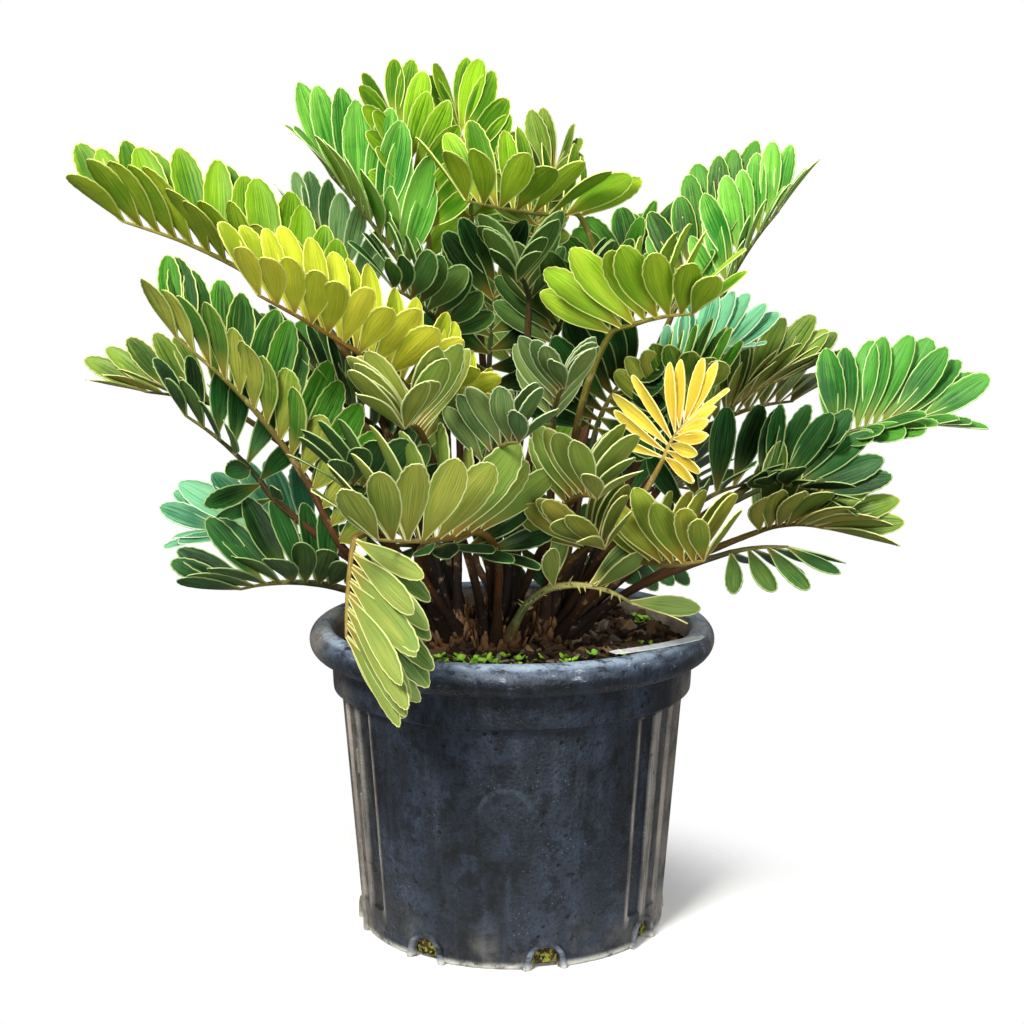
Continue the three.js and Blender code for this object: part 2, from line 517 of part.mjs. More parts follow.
// Where every leaflet of a frond grows, pair by pair
function leafletPlaces(frond, { blade, bladeNodes }, seed) {
  const random = seededRandom(seed);
  const spread = (amount) => amount * (2 * random() - 1);
  const face = new THREE.Vector3(...frond.face);
  const places = [];
  for (let pair = 0; pair < frond.pairs; pair += 1) {
    const share = pair / (frond.pairs - 1);
    for (const hand of [-1, 1]) {
      const at = Math.min(1, Math.max(0, share + (hand * leaf.stagger) / frond.pairs));
      const along = blade.getTangent(at);
      const open = face.clone().projectOnPlane(along).normalize();
      const side = new THREE.Vector3().crossVectors(along, open).multiplyScalar(hand);
      const fold = radians(frond.fold + spread(leaf.foldSpread));
      const sweep = radians(
        THREE.MathUtils.lerp(frond.sweep[0], frond.sweep[1], at) + spread(leaf.sweepSpread),
      );
      const rise = side.clone().multiplyScalar(Math.cos(fold)).addScaledVector(open, Math.sin(fold));
      const reach = along.clone().multiplyScalar(Math.cos(sweep)).addScaledVector(rise, Math.sin(sweep));
      const twist = radians((frond.twist ?? leaf.twist) + spread(leaf.twistSpread));
      const inward = open.clone().multiplyScalar(Math.cos(fold)).addScaledVector(side, -Math.sin(fold));
      const normal = inward.multiplyScalar(Math.cos(twist)).addScaledVector(along, -Math.sin(twist));
      normal.projectOnPlane(reach).normalize();
      const full = 1 - leaf.shortEnds * (2 * at - 1) ** 2;
      const length = frond.leaflet * full * (1 + spread(leaf.lengthSpread));
      places.push({
        root: pointOn(bladeNodes, at),
        along: reach,
        across: new THREE.Vector3().crossVectors(normal, reach),
        normal,
        length,
        width: length * leaf.wide * (frond.slim ?? 1),
      });
    }
  }
  return places;
}

// Solids placed so far, with their boxes, so that a leaflet that would touch one is left out
const placed = [];

function boxOf(solid) {
  const { min, max } = solid.boundingBox();
  return new THREE.Box3(new THREE.Vector3(...min), new THREE.Vector3(...max));
}

function keep(solid, owner) {
  placed.push({ solid, box: boxOf(solid), owner });
}

function touchesOthers(solid, owner) {
  const box = boxOf(solid);
  return placed.some((other) => other.owner !== owner
    && other.box.intersectsBox(box)
    && !other.solid.intersect(solid).isEmpty());
}

const plant = new THREE.Group();

function addMesh(name, geometry, color, roughness) {
  const material = new THREE.MeshStandardMaterial({ color, roughness, metalness: 0 });
  const mesh = new THREE.Mesh(geometry, material);
  mesh.name = name;
  plant.add(mesh);
}

const potBody = potSolid();
const caudexBody = caudexSolid();
const soilBody = soilSolid();
addMesh('pot', geometryOf(potBody), 0x2b3036, 0.55);
addMesh('soil', geometryOf(soilBody), 0x2e2018, 0.95);
addMesh('caudex', geometryOf(caudexBody), 0x4a3020, 0.9);
addMesh('tag', tagGeometry(), 0xd8dad8, 0.5);
keep(potBody, 'pot');
keep(soilBody, 'soil');
keep(solidOf(tagGeometry()), 'tag');

// Stalks and ribs first, so that no leaflet takes their place
const caudexRoom = caudexSolid(gap);
const lines = fronds.map(frondLine);
spreadStalks(lines);
const ramp = (from, to, steps) => (
  Array.from({ length: steps + 1 }, (_, i) => from + ((to - from) * i) / steps)
);
const stalkRadii = ramp(rib.footRadius, rib.bladeRadius, rib.stalkSteps);
const bladeRadii = ramp(rib.bladeRadius, rib.tipRadius, rib.bladeSteps);

// Stalk of a split frond: runs on past the bend, then is cut clear of the blade's end
function splitStalk(stalkNodes, bladeNodes, face) {
  const bend = bladeNodes[0];
  const arriving = bend.clone().sub(stalkNodes[stalkNodes.length - 2]).normalize();
  const leaving = bladeNodes[1].clone().sub(bend).normalize();
  const past = bend.clone().addScaledVector(arriving, rib.bladeRadius);
  const joint = [-gap, rib.bladeRadius * 3].map((way) => bend.clone().addScaledVector(leaving, way));
  const room = ribSolid(joint, joint.map(() => rib.bladeRadius * 3), face);
  return ribSolid([...stalkNodes.slice(0, -1), past], stalkRadii, face).subtract(room);
}

const limbs = fronds.map((frond, order) => {
  const { stalkNodes, bladeNodes } = lines[order];
  const face = new THREE.Vector3(...frond.face);
  if (!frond.split) {
    const nodes = [...stalkNodes, ...bladeNodes.slice(1)];
    const limb = ribSolid(nodes, [...stalkRadii, ...bladeRadii.slice(1)], face).subtract(caudexRoom);
    keep(limb, frond.name);
    return limb;
  }
  const limb = ribSolid(bladeNodes, bladeRadii, face);
  const stalk = splitStalk(stalkNodes, bladeNodes, face).subtract(caudexRoom);
  addMesh(frond.name.replace('frond', 'stalk'), geometryOf(stalk), 0x7a4a2c, 0.7);
  keep(stalk, frond.name);
  keep(limb, frond.name);
  return limb;
});

fronds.forEach((frond, order) => {
  let solid = limbs[order];
  for (const place of leafletPlaces(frond, lines[order], 101 + order)) {
    const leaflet = leafletSolid(place);
    if (!touchesOthers(leafletSolid(place, leaf.spare), frond.name)) {
      solid = solid.add(leaflet);
      keep(leaflet, frond.name);
    }
  }
  addMesh(frond.name, geometryOf(solid), tints[frond.tint], 0.6);
});

export default plant;
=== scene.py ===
# Cardboard palm in its black nursery pot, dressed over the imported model. Metres, +Z up.
import math
import random

import bmesh
import bpy
import numpy as np
from mathutils import Matrix, Vector, noise


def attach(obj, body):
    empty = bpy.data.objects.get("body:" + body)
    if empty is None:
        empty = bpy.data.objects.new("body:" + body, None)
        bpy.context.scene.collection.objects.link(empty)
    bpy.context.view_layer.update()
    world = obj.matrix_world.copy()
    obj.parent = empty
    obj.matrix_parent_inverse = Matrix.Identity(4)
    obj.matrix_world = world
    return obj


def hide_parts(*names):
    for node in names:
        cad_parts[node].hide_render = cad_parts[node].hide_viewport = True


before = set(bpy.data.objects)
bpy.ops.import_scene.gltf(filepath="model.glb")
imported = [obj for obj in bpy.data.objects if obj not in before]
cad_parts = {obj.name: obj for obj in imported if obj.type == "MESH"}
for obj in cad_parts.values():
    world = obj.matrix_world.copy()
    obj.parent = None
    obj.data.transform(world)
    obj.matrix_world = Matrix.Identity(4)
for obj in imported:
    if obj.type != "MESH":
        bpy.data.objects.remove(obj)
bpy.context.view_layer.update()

print("frame loaded")


# Materials


class Wire:
    # an output socket of a recipe's tree; arithmetic on it adds Math nodes
    def __init__(self, recipe, socket):
        self.recipe = recipe
        self.socket = socket

    def math(self, operation, *values):
        return self.recipe.node("ShaderNodeMath", {"operation": operation}, dict(enumerate(values)))

    def __add__(self, other):
        return self.math("ADD", self, other)

    __radd__ = __add__

    def __sub__(self, other):
        return self.math("SUBTRACT", self, other)

    def __rsub__(self, other):
        return self.math("SUBTRACT", other, self)

    def __mul__(self, other):
        return self.math("MULTIPLY", self, other)

    __rmul__ = __mul__

    def step(self, low, high):
        # 0 below low, 1 above high, smooth between; turned round when low is above high
        return self.recipe.node(
            "ShaderNodeMapRange",
            {"interpolation_type": "SMOOTHSTEP"},
            {0: self, 1: min(low, high), 2: max(low, high), 3: float(low > high), 4: float(low < high)},
        )


class Recipe:
    # one material and the nodes that go into it
    def __init__(self, name):
        self.material = bpy.data.materials.new(name)
        self.material.use_nodes = True
        self.tree = self.material.node_tree
        self.shader = self.tree.nodes["Principled BSDF"]

    def node(self, kind, settings=None, sockets=None, out=0):
        made = self.tree.nodes.new(kind)
        for key, value in (settings or {}).items():
            setattr(made, key, value)
        for key, value in (sockets or {}).items():
            self.join(value, made.inputs[key])
        return Wire(self, made.outputs[out])

    def join(self, value, socket):
        if isinstance(value, Wire):
            self.tree.links.new(value.socket, socket)
        else:
            socket.default_value = value

    def mix(self, share, low, high):
        # a colour is a wire or a six-letter code
        low, high = [shade(colour) if isinstance(colour, str) else colour for colour in (low, high)]
        settings = {"data_type": "RGBA", "clamp_factor": True}
        return self.node("ShaderNodeMix", settings, {0: share, 6: low, 7: high}, out=2)

    def coat(self, body, *coats):
        # lays each colour over the body where its mask lets it show
        for mask, colour in coats:
            body = self.mix(mask, body, colour)
        return body

    def objectPlace(self, stretch=(1, 1, 1)):
        place = self.node("ShaderNodeTexCoord", out=3)
        if stretch == (1, 1, 1):
            return place
        return self.node("ShaderNodeMapping", None, {"Vector": place, "Scale": stretch})

    def noise(self, place, scale, detail=3.0, roughness=0.55, distortion=0.0):
        sockets = {"Vector": place, "Scale": scale, "Detail": detail, "Roughness": roughness}
        return self.node("ShaderNodeTexNoise", None, {**sockets, "Distortion": distortion})

    def cells(self, place, scale):
        return self.node("ShaderNodeTexVoronoi", None, {"Vector": place, "Scale": scale})

    def attribute(self, name, out):
        return self.node("ShaderNodeAttribute", {"attribute_name": name}, None, out)

    def split(self, vector, kind="ShaderNodeSeparateXYZ"):
        return [self.node(kind, None, {0: vector}, out) for out in range(3)]

    def bump(self, height, distance):
        sockets = {"Height": height, "Distance": distance}
        self.join(self.node("ShaderNodeBump", None, sockets), self.shader.inputs["Normal"])

    def finish(self, **values):
        names = {"colour": "Base Color", "roughness": "Roughness", "shine": "Specular IOR Level",
                 "cover": "Alpha"}
        for key, value in values.items():
            self.join(value, self.shader.inputs[names[key]])
        return self.material


def shade(code):
    # colour from a six-letter code as the eye sees it
    parts = [int(code[i:i + 2], 16) / 255 for i in (0, 2, 4)]
    linear = [p / 12.92 if p <= 0.04045 else ((p + 0.055) / 1.055) ** 2.4 for p in parts]
    return (*linear, 1.0)


# Small helpers


def clearSelection():
    if bpy.context.mode != "OBJECT":
        bpy.ops.object.mode_set(mode="OBJECT")
    bpy.ops.object.select_all(action="DESELECT")


def selectOnly(piece):
    clearSelection()
    bpy.context.view_layer.objects.active = piece
    piece.select_set(True)


def editOnly(piece):
    selectOnly(piece)
    bpy.ops.object.mode_set(mode="EDIT")
    bpy.ops.mesh.select_all(action="DESELECT")


def pick(piece, kind, test):
    # selects, in edit mode, the vertices or faces whose place passes the test
    bpy.ops.mesh.select_mode(type="VERT" if kind == "verts" else "FACE")
    bpy.ops.mesh.select_all(action="DESELECT")
    shell = bmesh.from_edit_mesh(piece.data)
    for item in getattr(shell, kind):
        if test(item.co if kind == "verts" else item.calc_center_median()):
            item.select_set(True)
    shell.select_flush_mode()
    bmesh.update_edit_mesh(piece.data)


def applyModifiers(piece):
    selectOnly(piece)
    for modifier in list(piece.modifiers):
        bpy.ops.object.modifier_apply(modifier=modifier.name)


def applyPlace(piece):
    selectOnly(piece)
    bpy.ops.object.transform_apply(location=True, rotation=True, scale=True)


def joinAll(pieces, name):
    clearSelection()
    for piece in pieces:
        piece.select_set(True)
    bpy.context.view_layer.objects.active = pieces[0]
    if len(pieces) > 1:
        bpy.ops.object.join()
    pieces[0].name = name
    pieces[0].data.name = name
    return pieces[0]


def thicken(piece, thickness):
    piece.modifiers.new("thickness", "SOLIDIFY").thickness = thickness
    applyModifiers(piece)


def smooth(piece, degrees=40):
    selectOnly(piece)
    bpy.ops.object.shade_smooth_by_angle(angle=math.radians(degrees))


def dress(piece, material, slot, *nodes):
    piece.data.materials.clear()
    piece.data.materials.append(material)
    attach(piece, "root")
    if nodes:
        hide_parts(*nodes)
    return piece


def meshPiece(name, points, faces, layers=None, uv=None):
    # joined mesh from arrays; layers are colours by vertex, uv is a place by vertex
    mesh = bpy.data.meshes.new(name)
    mesh.from_pydata([tuple(p) for p in points], [], [tuple(f) for f in faces])
    loops = np.empty(len(mesh.loops), dtype=np.int32)
    mesh.loops.foreach_get("vertex_index", loops)
    if uv is not None:
        layer = mesh.uv_layers.new(name="growthMap")
        layer.data.foreach_set("uv", np.asarray(uv, dtype=np.float32)[loops].ravel())
    for key, values in (layers or {}).items():
        layer = mesh.attributes.new(key, "FLOAT_COLOR", "POINT")
        layer.data.foreach_set("color", np.asarray(values, dtype=np.float32).ravel())
    mesh.update()
    piece = bpy.data.objects.new(name, mesh)
    bpy.context.scene.collection.objects.link(piece)
    return piece


def headingOf(x, y):
    # degrees round the pot: 0 is the front, growing toward +X
    return math.degrees(math.atan2(x, -y))


# Nursery pot

potSizes = {
    "around": 180, "height": 0.308, "foot": 0.152, "shoulder": 0.171, "shoulderHeight": 0.244,
    "collar": 0.179, "rim": 0.202, "roll": 0.016, "wall": 0.003, "floor": 0.004,
    "channels": (-69.5, -58.5, 50.5, 61.5, 170.5, 181.5), "channelTurn": 9, "channelLow": 0.034,
    "channelHigh": 0.237, "channelDeep": 0.0026, "notches": 8, "notchFirst": 12, "notchWide": 0.026,
    "notchTall": 0.022, "notchDeep": 0.04, "archThick": 0.0036,
}


def wallRadius(height):
    share = height / potSizes["shoulderHeight"]
    return potSizes["foot"] + (potSizes["shoulder"] - potSizes["foot"]) * share


def arcPoints(centre, height, radius, first, last, steps):
    turns = [math.radians(first + (last - first) * i / steps) for i in range(steps + 1)]
    return [(centre + radius * math.cos(a), height + radius * math.sin(a)) for a in turns]


def potProfile(p):
    foot, wall = p["foot"], p["wall"]
    lip = [(foot - 0.006, 0.0), (foot - 0.001, 0.0006), (foot + 0.0012, 0.003),
           (foot + 0.0014, 0.0075), (foot + 0.0008, 0.010)]
    heights = [0.013, p["channelLow"]]
    heights += [p["channelLow"] + (p["channelHigh"] - p["channelLow"]) * i / 9 for i in range(1, 10)]
    side = [(wallRadius(z), z) for z in heights]
    step = [(p["shoulder"] + 0.0002, 0.2415), (p["collar"] - 0.002, 0.2425), (p["collar"] - 0.0004, 0.2438)]
    collar = [(p["collar"], 0.247), (p["collar"] + 0.0004, 0.256), (p["collar"] + 0.0008, 0.268)]
    rollHeight = p["height"] - p["roll"]
    rollCentre = p["rim"] - p["roll"]
    roll = arcPoints(rollCentre, rollHeight, p["roll"], -105, 92, 22)
    inner = p["collar"] - wall
    lining = [(inner + 0.0055, 0.3062), (inner + 0.0022, 0.3025), (inner + 0.0006, 0.297), (inner, 0.285),
              (inner, 0.268), (inner, 0.252), (p["shoulder"] - wall, 0.246), (p["foot"] - wall, p["floor"])]
    return lip + side + step + collar + roll + lining


def growRings(profile, around):
    # a circle that is drawn out ring by ring along a profile of (radius, height)
    clearSelection()
    radius, height = profile[0]
    bpy.ops.mesh.primitive_circle_add(vertices=around, radius=radius, location=(0, 0, 0))
    piece = bpy.context.object
    bpy.ops.object.mode_set(mode="EDIT")
    bpy.ops.mesh.select_all(action="SELECT")
    bpy.ops.transform.translate(value=(0, 0, height))
    for nextRadius, nextHeight in profile[1:]:
        bpy.ops.mesh.extrude_region_move(TRANSFORM_OT_translate={"value": (0, 0, nextHeight - height)})
        grow = nextRadius / radius
        bpy.ops.transform.resize(value=(grow, grow, 1), center_override=(0, 0, nextHeight))
        radius, height = nextRadius, nextHeight
    return piece


def closeEnds(piece, *heights):
    for height in heights:
        bpy.ops.mesh.select_mode(type="EDGE")
        bpy.ops.mesh.select_all(action="DESELECT")
        shell = bmesh.from_edit_mesh(piece.data)
        for edge in shell.edges:
            if edge.is_boundary and abs(edge.verts[0].co.z - height) < 1e-4:
                edge.select_set(True)
        bmesh.update_edit_mesh(piece.data)
        bpy.ops.mesh.edge_face_add()
    bpy.ops.mesh.select_all(action="SELECT")
    bpy.ops.mesh.normals_make_consistent(inside=False)
    bpy.ops.object.mode_set(mode="OBJECT")


def potShell():
    p = potSizes
    piece = growRings(potProfile(p), p["around"])
    closeEnds(piece, 0.0, p["floor"])
    for heading in p["channels"]:
        editOnly(piece)

        def inChannel(place, heading=heading):
            turn = (headingOf(place.x, place.y) - heading + 180) % 360 - 180
            outside = math.hypot(place.x, place.y) > wallRadius(place.z) - p["wall"] / 2
            level = p["channelLow"] < place.z < p["channelHigh"]
            return abs(turn) < p["channelTurn"] / 2 and level and outside

        pick(piece, "faces", inChannel)
        bpy.ops.mesh.inset(thickness=0.0008, depth=0)
        bpy.ops.transform.shrink_fatten(value=-p["channelDeep"] * 0.4)
        bpy.ops.mesh.inset(thickness=0.0014, depth=0)
        bpy.ops.transform.shrink_fatten(value=-p["channelDeep"] * 0.6)
    clearSelection()
    cutter = notchCutters()
    boolean = piece.modifiers.new("notches", "BOOLEAN")
    boolean.object = cutter
    boolean.solver = "EXACT"
    applyModifiers(piece)
    bpy.data.objects.remove(cutter)
    piece.name = "potShell"
    smooth(piece, 35)
    return piece


def archBlock(wide, tall, deep):
    # a drum lying along Y whose lower half is drawn down to the floor
    clearSelection()
    bpy.ops.mesh.primitive_cylinder_add(vertices=28, radius=wide / 2, depth=deep,
                                        location=(0, 0, tall - wide / 2), rotation=(math.pi / 2, 0, 0))
    block = bpy.context.object
    applyPlace(block)
    editOnly(block)
    pick(block, "verts", lambda place: place.z < tall - wide / 2 - 1e-4)
    bpy.ops.transform.resize(value=(1, 1, 0), center_override=(0, 0, -0.003))
    bpy.ops.object.mode_set(mode="OBJECT")
    return block


def roundThePot(model, radius):
    # a copy of the model at each notch, turned outward
    p = potSizes
    copies = []
    for i in range(p["notches"]):
        copy = bpy.data.objects.new("copy", model.data.copy())
        bpy.context.scene.collection.objects.link(copy)
        turn = math.radians(p["notchFirst"] + 360 / p["notches"] * i)
        place = Vector((radius * math.sin(turn), -radius * math.cos(turn), 0))
        copy.matrix_world = Matrix.Translation(place) @ Matrix.Rotation(turn, 4, "Z")
        copies.append(copy)
    bpy.data.objects.remove(model)
    return copies


def notchCutters():
    p = potSizes
    block = archBlock(p["notchWide"], p["notchTall"], p["notchDeep"])
    piece = joinAll(roundThePot(block, p["foot"]), "notchCutters")
    applyPlace(piece)
    return piece


def footArches():
    # raised lip round each drainage notch
    p = potSizes
    clearSelection()
    spring = p["notchTall"] - p["notchWide"] / 2
    bpy.ops.mesh.primitive_torus_add(major_segments=40, minor_segments=12,
                                     major_radius=p["notchWide"] / 2 + p["archThick"],
                                     minor_radius=p["archThick"], location=(0, 0, spring),
                                     rotation=(math.pi / 2, 0, 0))
    arch = bpy.context.object
    applyPlace(arch)
    editOnly(arch)
    bpy.ops.mesh.select_all(action="SELECT")
    bpy.ops.mesh.bisect(plane_co=(0, 0, spring), plane_no=(0, 0, -1), clear_outer=True, use_fill=False)
    pick(arch, "verts", lambda place: place.z < spring + 1e-4)
    bpy.ops.mesh.select_mode(type="EDGE")
    bpy.ops.mesh.extrude_region_move(TRANSFORM_OT_translate={"value": (0, 0, -spring + 0.0008)})
    bpy.ops.transform.resize(value=(1.12, 1, 1), center_override=(0, 0, 0))
    bpy.ops.mesh.select_all(action="SELECT")
    bpy.ops.mesh.fill_holes(sides=0)
    bpy.ops.mesh.normals_make_consistent(inside=False)
    bpy.ops.object.mode_set(mode="OBJECT")
    piece = joinAll(roundThePot(arch, wallRadius(0.012) - 0.0006), "footArches")
    applyPlace(piece)
    smooth(piece, 60)
    return piece


def potPlastic():
    r = Recipe("dustyPotPlastic")
    place = r.objectPlace()
    x, y, z = r.split(place)
    radius = x.math("SQRT", x * x + y * y)
    heading = x.math("ARCTAN2", x, y * -1.0) * (180 / math.pi)
    clouds = r.noise(place, 9, 5, 0.6, 0.4)
    blotch = r.noise(r.objectPlace((1, 1, 0.6)), 26, 5, 0.68, 0.3)
    streak = r.noise(r.objectPlace((1, 1, 0.07)), 70, 3, 0.6)
    # noise for the scuffs, which also breaks up the painted highlights on the rim and foot
    scuffsAndHighlights = r.noise(r.objectPlace((1, 1, 3.0)), 46, 5, 0.7)
    fine = r.noise(place, 330, 3, 0.6)
    specks = r.cells(place, 230).step(0.16, 0.07) * r.noise(place, 30).step(0.5, 0.62)
    pits = r.cells(place, 85).step(0.22, 0.12) * r.noise(place, 17).step(0.5, 0.62)
    halfTurn = potSizes["channelTurn"] / 2
    # pale lines along both edges of each channel are painted highlight
    edges = None
    for centre in potSizes["channels"]:
        turn = heading - centre
        away = turn.math("ABSOLUTE", turn.math("WRAP", turn, 180.0, -180.0))
        band = away.math("ABSOLUTE", away - halfTurn).step(2.0, 0.3)
        edges = band if edges is None else edges.math("MAXIMUM", edges, band)
    edges = edges * z.step(0.02, 0.04) * z.step(0.241, 0.235)
    # the raised foot arches and lip, where a highlight is painted
    bulge = (radius - z * 0.0779).step(0.1536, 0.155) * z.step(0.045, 0.035)
    lining = radius.step(0.1785, 0.1772) * z.step(0.25, 0.26)
    off = heading.math("ABSOLUTE", heading)
    # the left and right sides, seen from the front, are lighter: dust and painted reflected light
    flank = off.step(54.0, 78.0) * off.step(122.0, 96.0)
    dustAndSideLight = r.noise(place, 22, 5, 0.7).step(0.35, 0.6) * (streak * 0.6 + 0.5)
    arc = x.math("SQRT", (x + 0.006) * (x + 0.006) + (z - 0.158) * (z - 0.158))
    mark = arc.step(0.0205, 0.0225) * arc.step(0.028, 0.0245) * z.step(0.155, 0.17) * y.step(0.0, -0.05)
    seam = heading.step(-1.5, 0.2) * heading.step(9.0, 0.6) * z.step(0.2, 0.12) * z.step(0.02, 0.05)
    footWear = z.step(0.009, 0.002) * r.noise(place, 60, 4, 0.7).step(0.3, 0.55)
    grime = z.step(0.06, 0.0) * r.noise(place, 28, 4).step(0.45, 0.75)
    body = r.coat(
        r.mix(clouds.step(0.3, 0.75), "0e1013", "2a323e"),
        (blotch.step(0.4, 0.85) * 0.4, "465570"),
        (r.noise(place, 48, 5, 0.7).step(0.5, 0.38) * 0.7, "08090b"),
        (streak.step(0.5, 0.85) * 0.16, "6b7280"),
        (fine.step(0.5, 0.62) * 0.5, "0b0c0f"),
        (pits * 0.85, "08090b"),
        # white specks: partly scratches, partly painted glints
        (specks * clouds.step(0.45, 0.6) * 0.45, "a8b0ba"),
        # painted highlight along the channel edges
        (edges * (streak.step(0.35, 0.65) * 0.6 + blotch.step(0.3, 0.6) * 0.25), "aaa298"),
        # the next two coats are painted highlight: a bluish band and a bright line along the top of the rim
        (z.step(0.29, 0.303) * scuffsAndHighlights.step(0.3, 0.6) * 0.6, "66748a"),
        (z.step(0.302, 0.3065) * scuffsAndHighlights.step(0.35, 0.55) * 0.7, "9fb0c4"),
        (z.step(0.285, 0.3) * scuffsAndHighlights.step(0.6, 0.68) * 0.6, "b4bac2"),
        # painted highlight on the raised foot arches and lip
        (bulge * scuffsAndHighlights.step(0.35, 0.65) * 0.6, "7d8b9c"),
        (lining * (fine * 0.6 + 0.35), "b3a08d"),
        # dust and painted reflected light on the sides
        (flank * dustAndSideLight * 0.8, "978d7f"),
        (mark * blotch.step(0.3, 0.6) * 0.3, "6d8092"),
        (seam * 0.35, "14171c"),
        (footWear * 0.85, "c3c2ba"),
        (grime * 0.5, "7d7a70"),
    )
    roughness = clouds * 0.25 + fine * 0.15 + 0.34 - z.step(0.275, 0.285) * 0.12
    r.bump(fine * 0.4 + blotch * 0.8 + r.noise(place, 120, 3) * 0.5 - pits * 0.8, 0.003)
    return r.finish(colour=body, roughness=roughness, shine=0.26)


plastic = potPlastic()
dress(potShell(), plastic, "pot", "pot")
dress(footArches(), plastic, "pot", "pot")
print("pot done")


# Potting bark

soilSizes = {
    "height": 0.276, "middle": 0.005, "radius": 0.1745, "mound": 0.016, "mound_x": 0.05, "mound_y": 0.06,
    "moundSpread": 0.11, "rings": 34, "around": 150, "lumps": 0.004, "grit": 0.0028,
    "chips": 1500, "weeds": 54, "frontWeeds": 34, "rightWeeds": 6,
}


def soilRise(x, y):
    s = soilSizes
    away = math.hypot(x - s["mound_x"], y - s["mound_y"])
    level = s["height"] + s["middle"] * (1 - math.hypot(x, y) / s["radius"])
    return level + s["mound"] * math.exp(-(away / s["moundSpread"]) ** 2)


def soilBed():
    s = soilSizes
    inner = potSizes["foot"] - potSizes["wall"] - 0.0006
    side = [(inner, 0.0046), (inner + 0.0165, 0.24), (s["radius"], 0.252), (s["radius"], 0.27)]
    top = [(s["radius"] * (1 - i / s["rings"]), s["height"]) for i in range(s["rings"])]
    piece = growRings(side + top, s["around"])
    closeEnds(piece, 0.0046, s["height"])
    for vertex in piece.data.vertices:
        x, y, z = vertex.co
        if z > 0.275:
            lumps = noise.noise(Vector((x, y, 0)) * 60) * s["lumps"]
            grit = noise.noise(Vector((x, y, 9)) * 160) * s["grit"]
            vertex.co.z = soilRise(x, y) + (lumps + grit)
    piece.name = "soilBed"
    smooth(piece, 60)
    return piece


def scatterBark(seed):
    # splintered chips of bark lying every way on the bed
    s = soilSizes
    dice = random.Random(seed)
    corner = np.array([(a, b, c) for c in (-1, 1) for b in (-1, 1) for a in (-1, 0, 1)], dtype=float)
    quads = [(0, 3, 4, 1), (1, 4, 5, 2), (6, 7, 10, 9), (7, 8, 11, 10), (0, 1, 7, 6), (1, 2, 8, 7),
             (3, 9, 10, 4), (4, 10, 11, 5), (0, 6, 9, 3), (2, 5, 11, 8)]
    points, faces, tones = [], [], []
    for i in range(s["chips"]):
        away = s["radius"] * math.sqrt(dice.random()) * 0.97
        turn = dice.uniform(0, math.tau)
        x, y = away * math.cos(turn), away * math.sin(turn)
        long = dice.uniform(0.003, 0.009) * (1.7 if dice.random() < 0.12 else 1)
        size = np.array([long, long * dice.uniform(0.3, 0.6), long * dice.uniform(0.14, 0.3)])
        shape = corner * (1 + np.array([[dice.uniform(-0.35, 0.25) for _ in range(3)] for _ in corner]))
        flat = 0.35 if dice.random() < 0.8 else 1.1
        spin = Matrix.Rotation(dice.uniform(0, math.tau), 3, "Z")
        spin = spin @ Matrix.Rotation(dice.gauss(0, flat), 3, "X")
        spin = spin @ Matrix.Rotation(dice.gauss(0, flat), 3, "Y")
        placed = (shape * size) @ np.array(spin).T + (x, y, soilRise(x, y) + dice.uniform(0.0005, 0.004))
        faces += [[len(points) + k for k in quad] for quad in quads]
        points += list(placed)
        tone = (dice.random(), dice.random(), 0, 1)
        tones += [tone] * len(corner)
    piece = meshPiece("barkChips", points, faces, {"barkTone": tones})
    smooth(piece, 50)
    return piece


def barkMaterial(name, chips):
    r = Recipe(name)
    place = r.objectPlace()
    grain = r.noise(r.objectPlace((1, 1, 2.6)), 260, 4, 0.65)
    lumps = r.noise(place, 90, 4, 0.6)
    if chips:
        tone, rarity, _ = r.split(r.attribute("barkTone", 0), "ShaderNodeSeparateColor")
        colour = r.coat(
            r.mix(tone, "0e0a07", "54402e"),
            (rarity.step(0.84, 0.96) * 0.8, "a08260"),
            (rarity.step(0.12, 0.02) * 0.8, "8f8a7c"),
        )
    else:
        colour = r.mix(lumps.step(0.4, 0.62), "0b0806", "3f2d1f")
    colour = r.coat(
        colour,
        (grain.step(0.5, 0.8) * 0.5, "5a4536"),
        (r.cells(place, 330).step(0.12, 0.04) * 0.5, "b3a896"),
    )
    if not chips:
        # moss where the notches let light and water in
        moss = r.split(place)[2].step(0.03, 0.02) * r.noise(place, 260, 3).step(0.48, 0.6)
        colour = r.mix(moss * 0.8, colour, "8a8f38")
    r.bump(grain + lumps, 0.0015)
    return r.finish(colour=colour, roughness=grain * 0.2 + 0.75, shine=0.12)


def stripFaces(first, corners):
    # six faces of a small blade that has four rows of three points
    return [tuple(first + 3 * row + k + corner for corner in corners) for row in range(3) for k in range(2)]


def leafCup(points, faces, tones, base, aim, upward, long, wide, tone):
    # one small round leaf of a weed, cupped
    side = aim.cross(upward).normalized()
    outline = [(0, 0.12), (0.4, 0.8), (0.75, 1), (1, 0.35)]
    first = len(points)
    for along, half in outline:
        for hand in (-1, 0, 1):
            lift = 0.25 * long * along * along + (0.12 * wide if hand else 0)
            points.append(base + aim * long * along + side * wide / 2 * half * hand + upward * lift)
            tones.append(tone)
    faces += stripFaces(first, (0, 1, 4, 3))


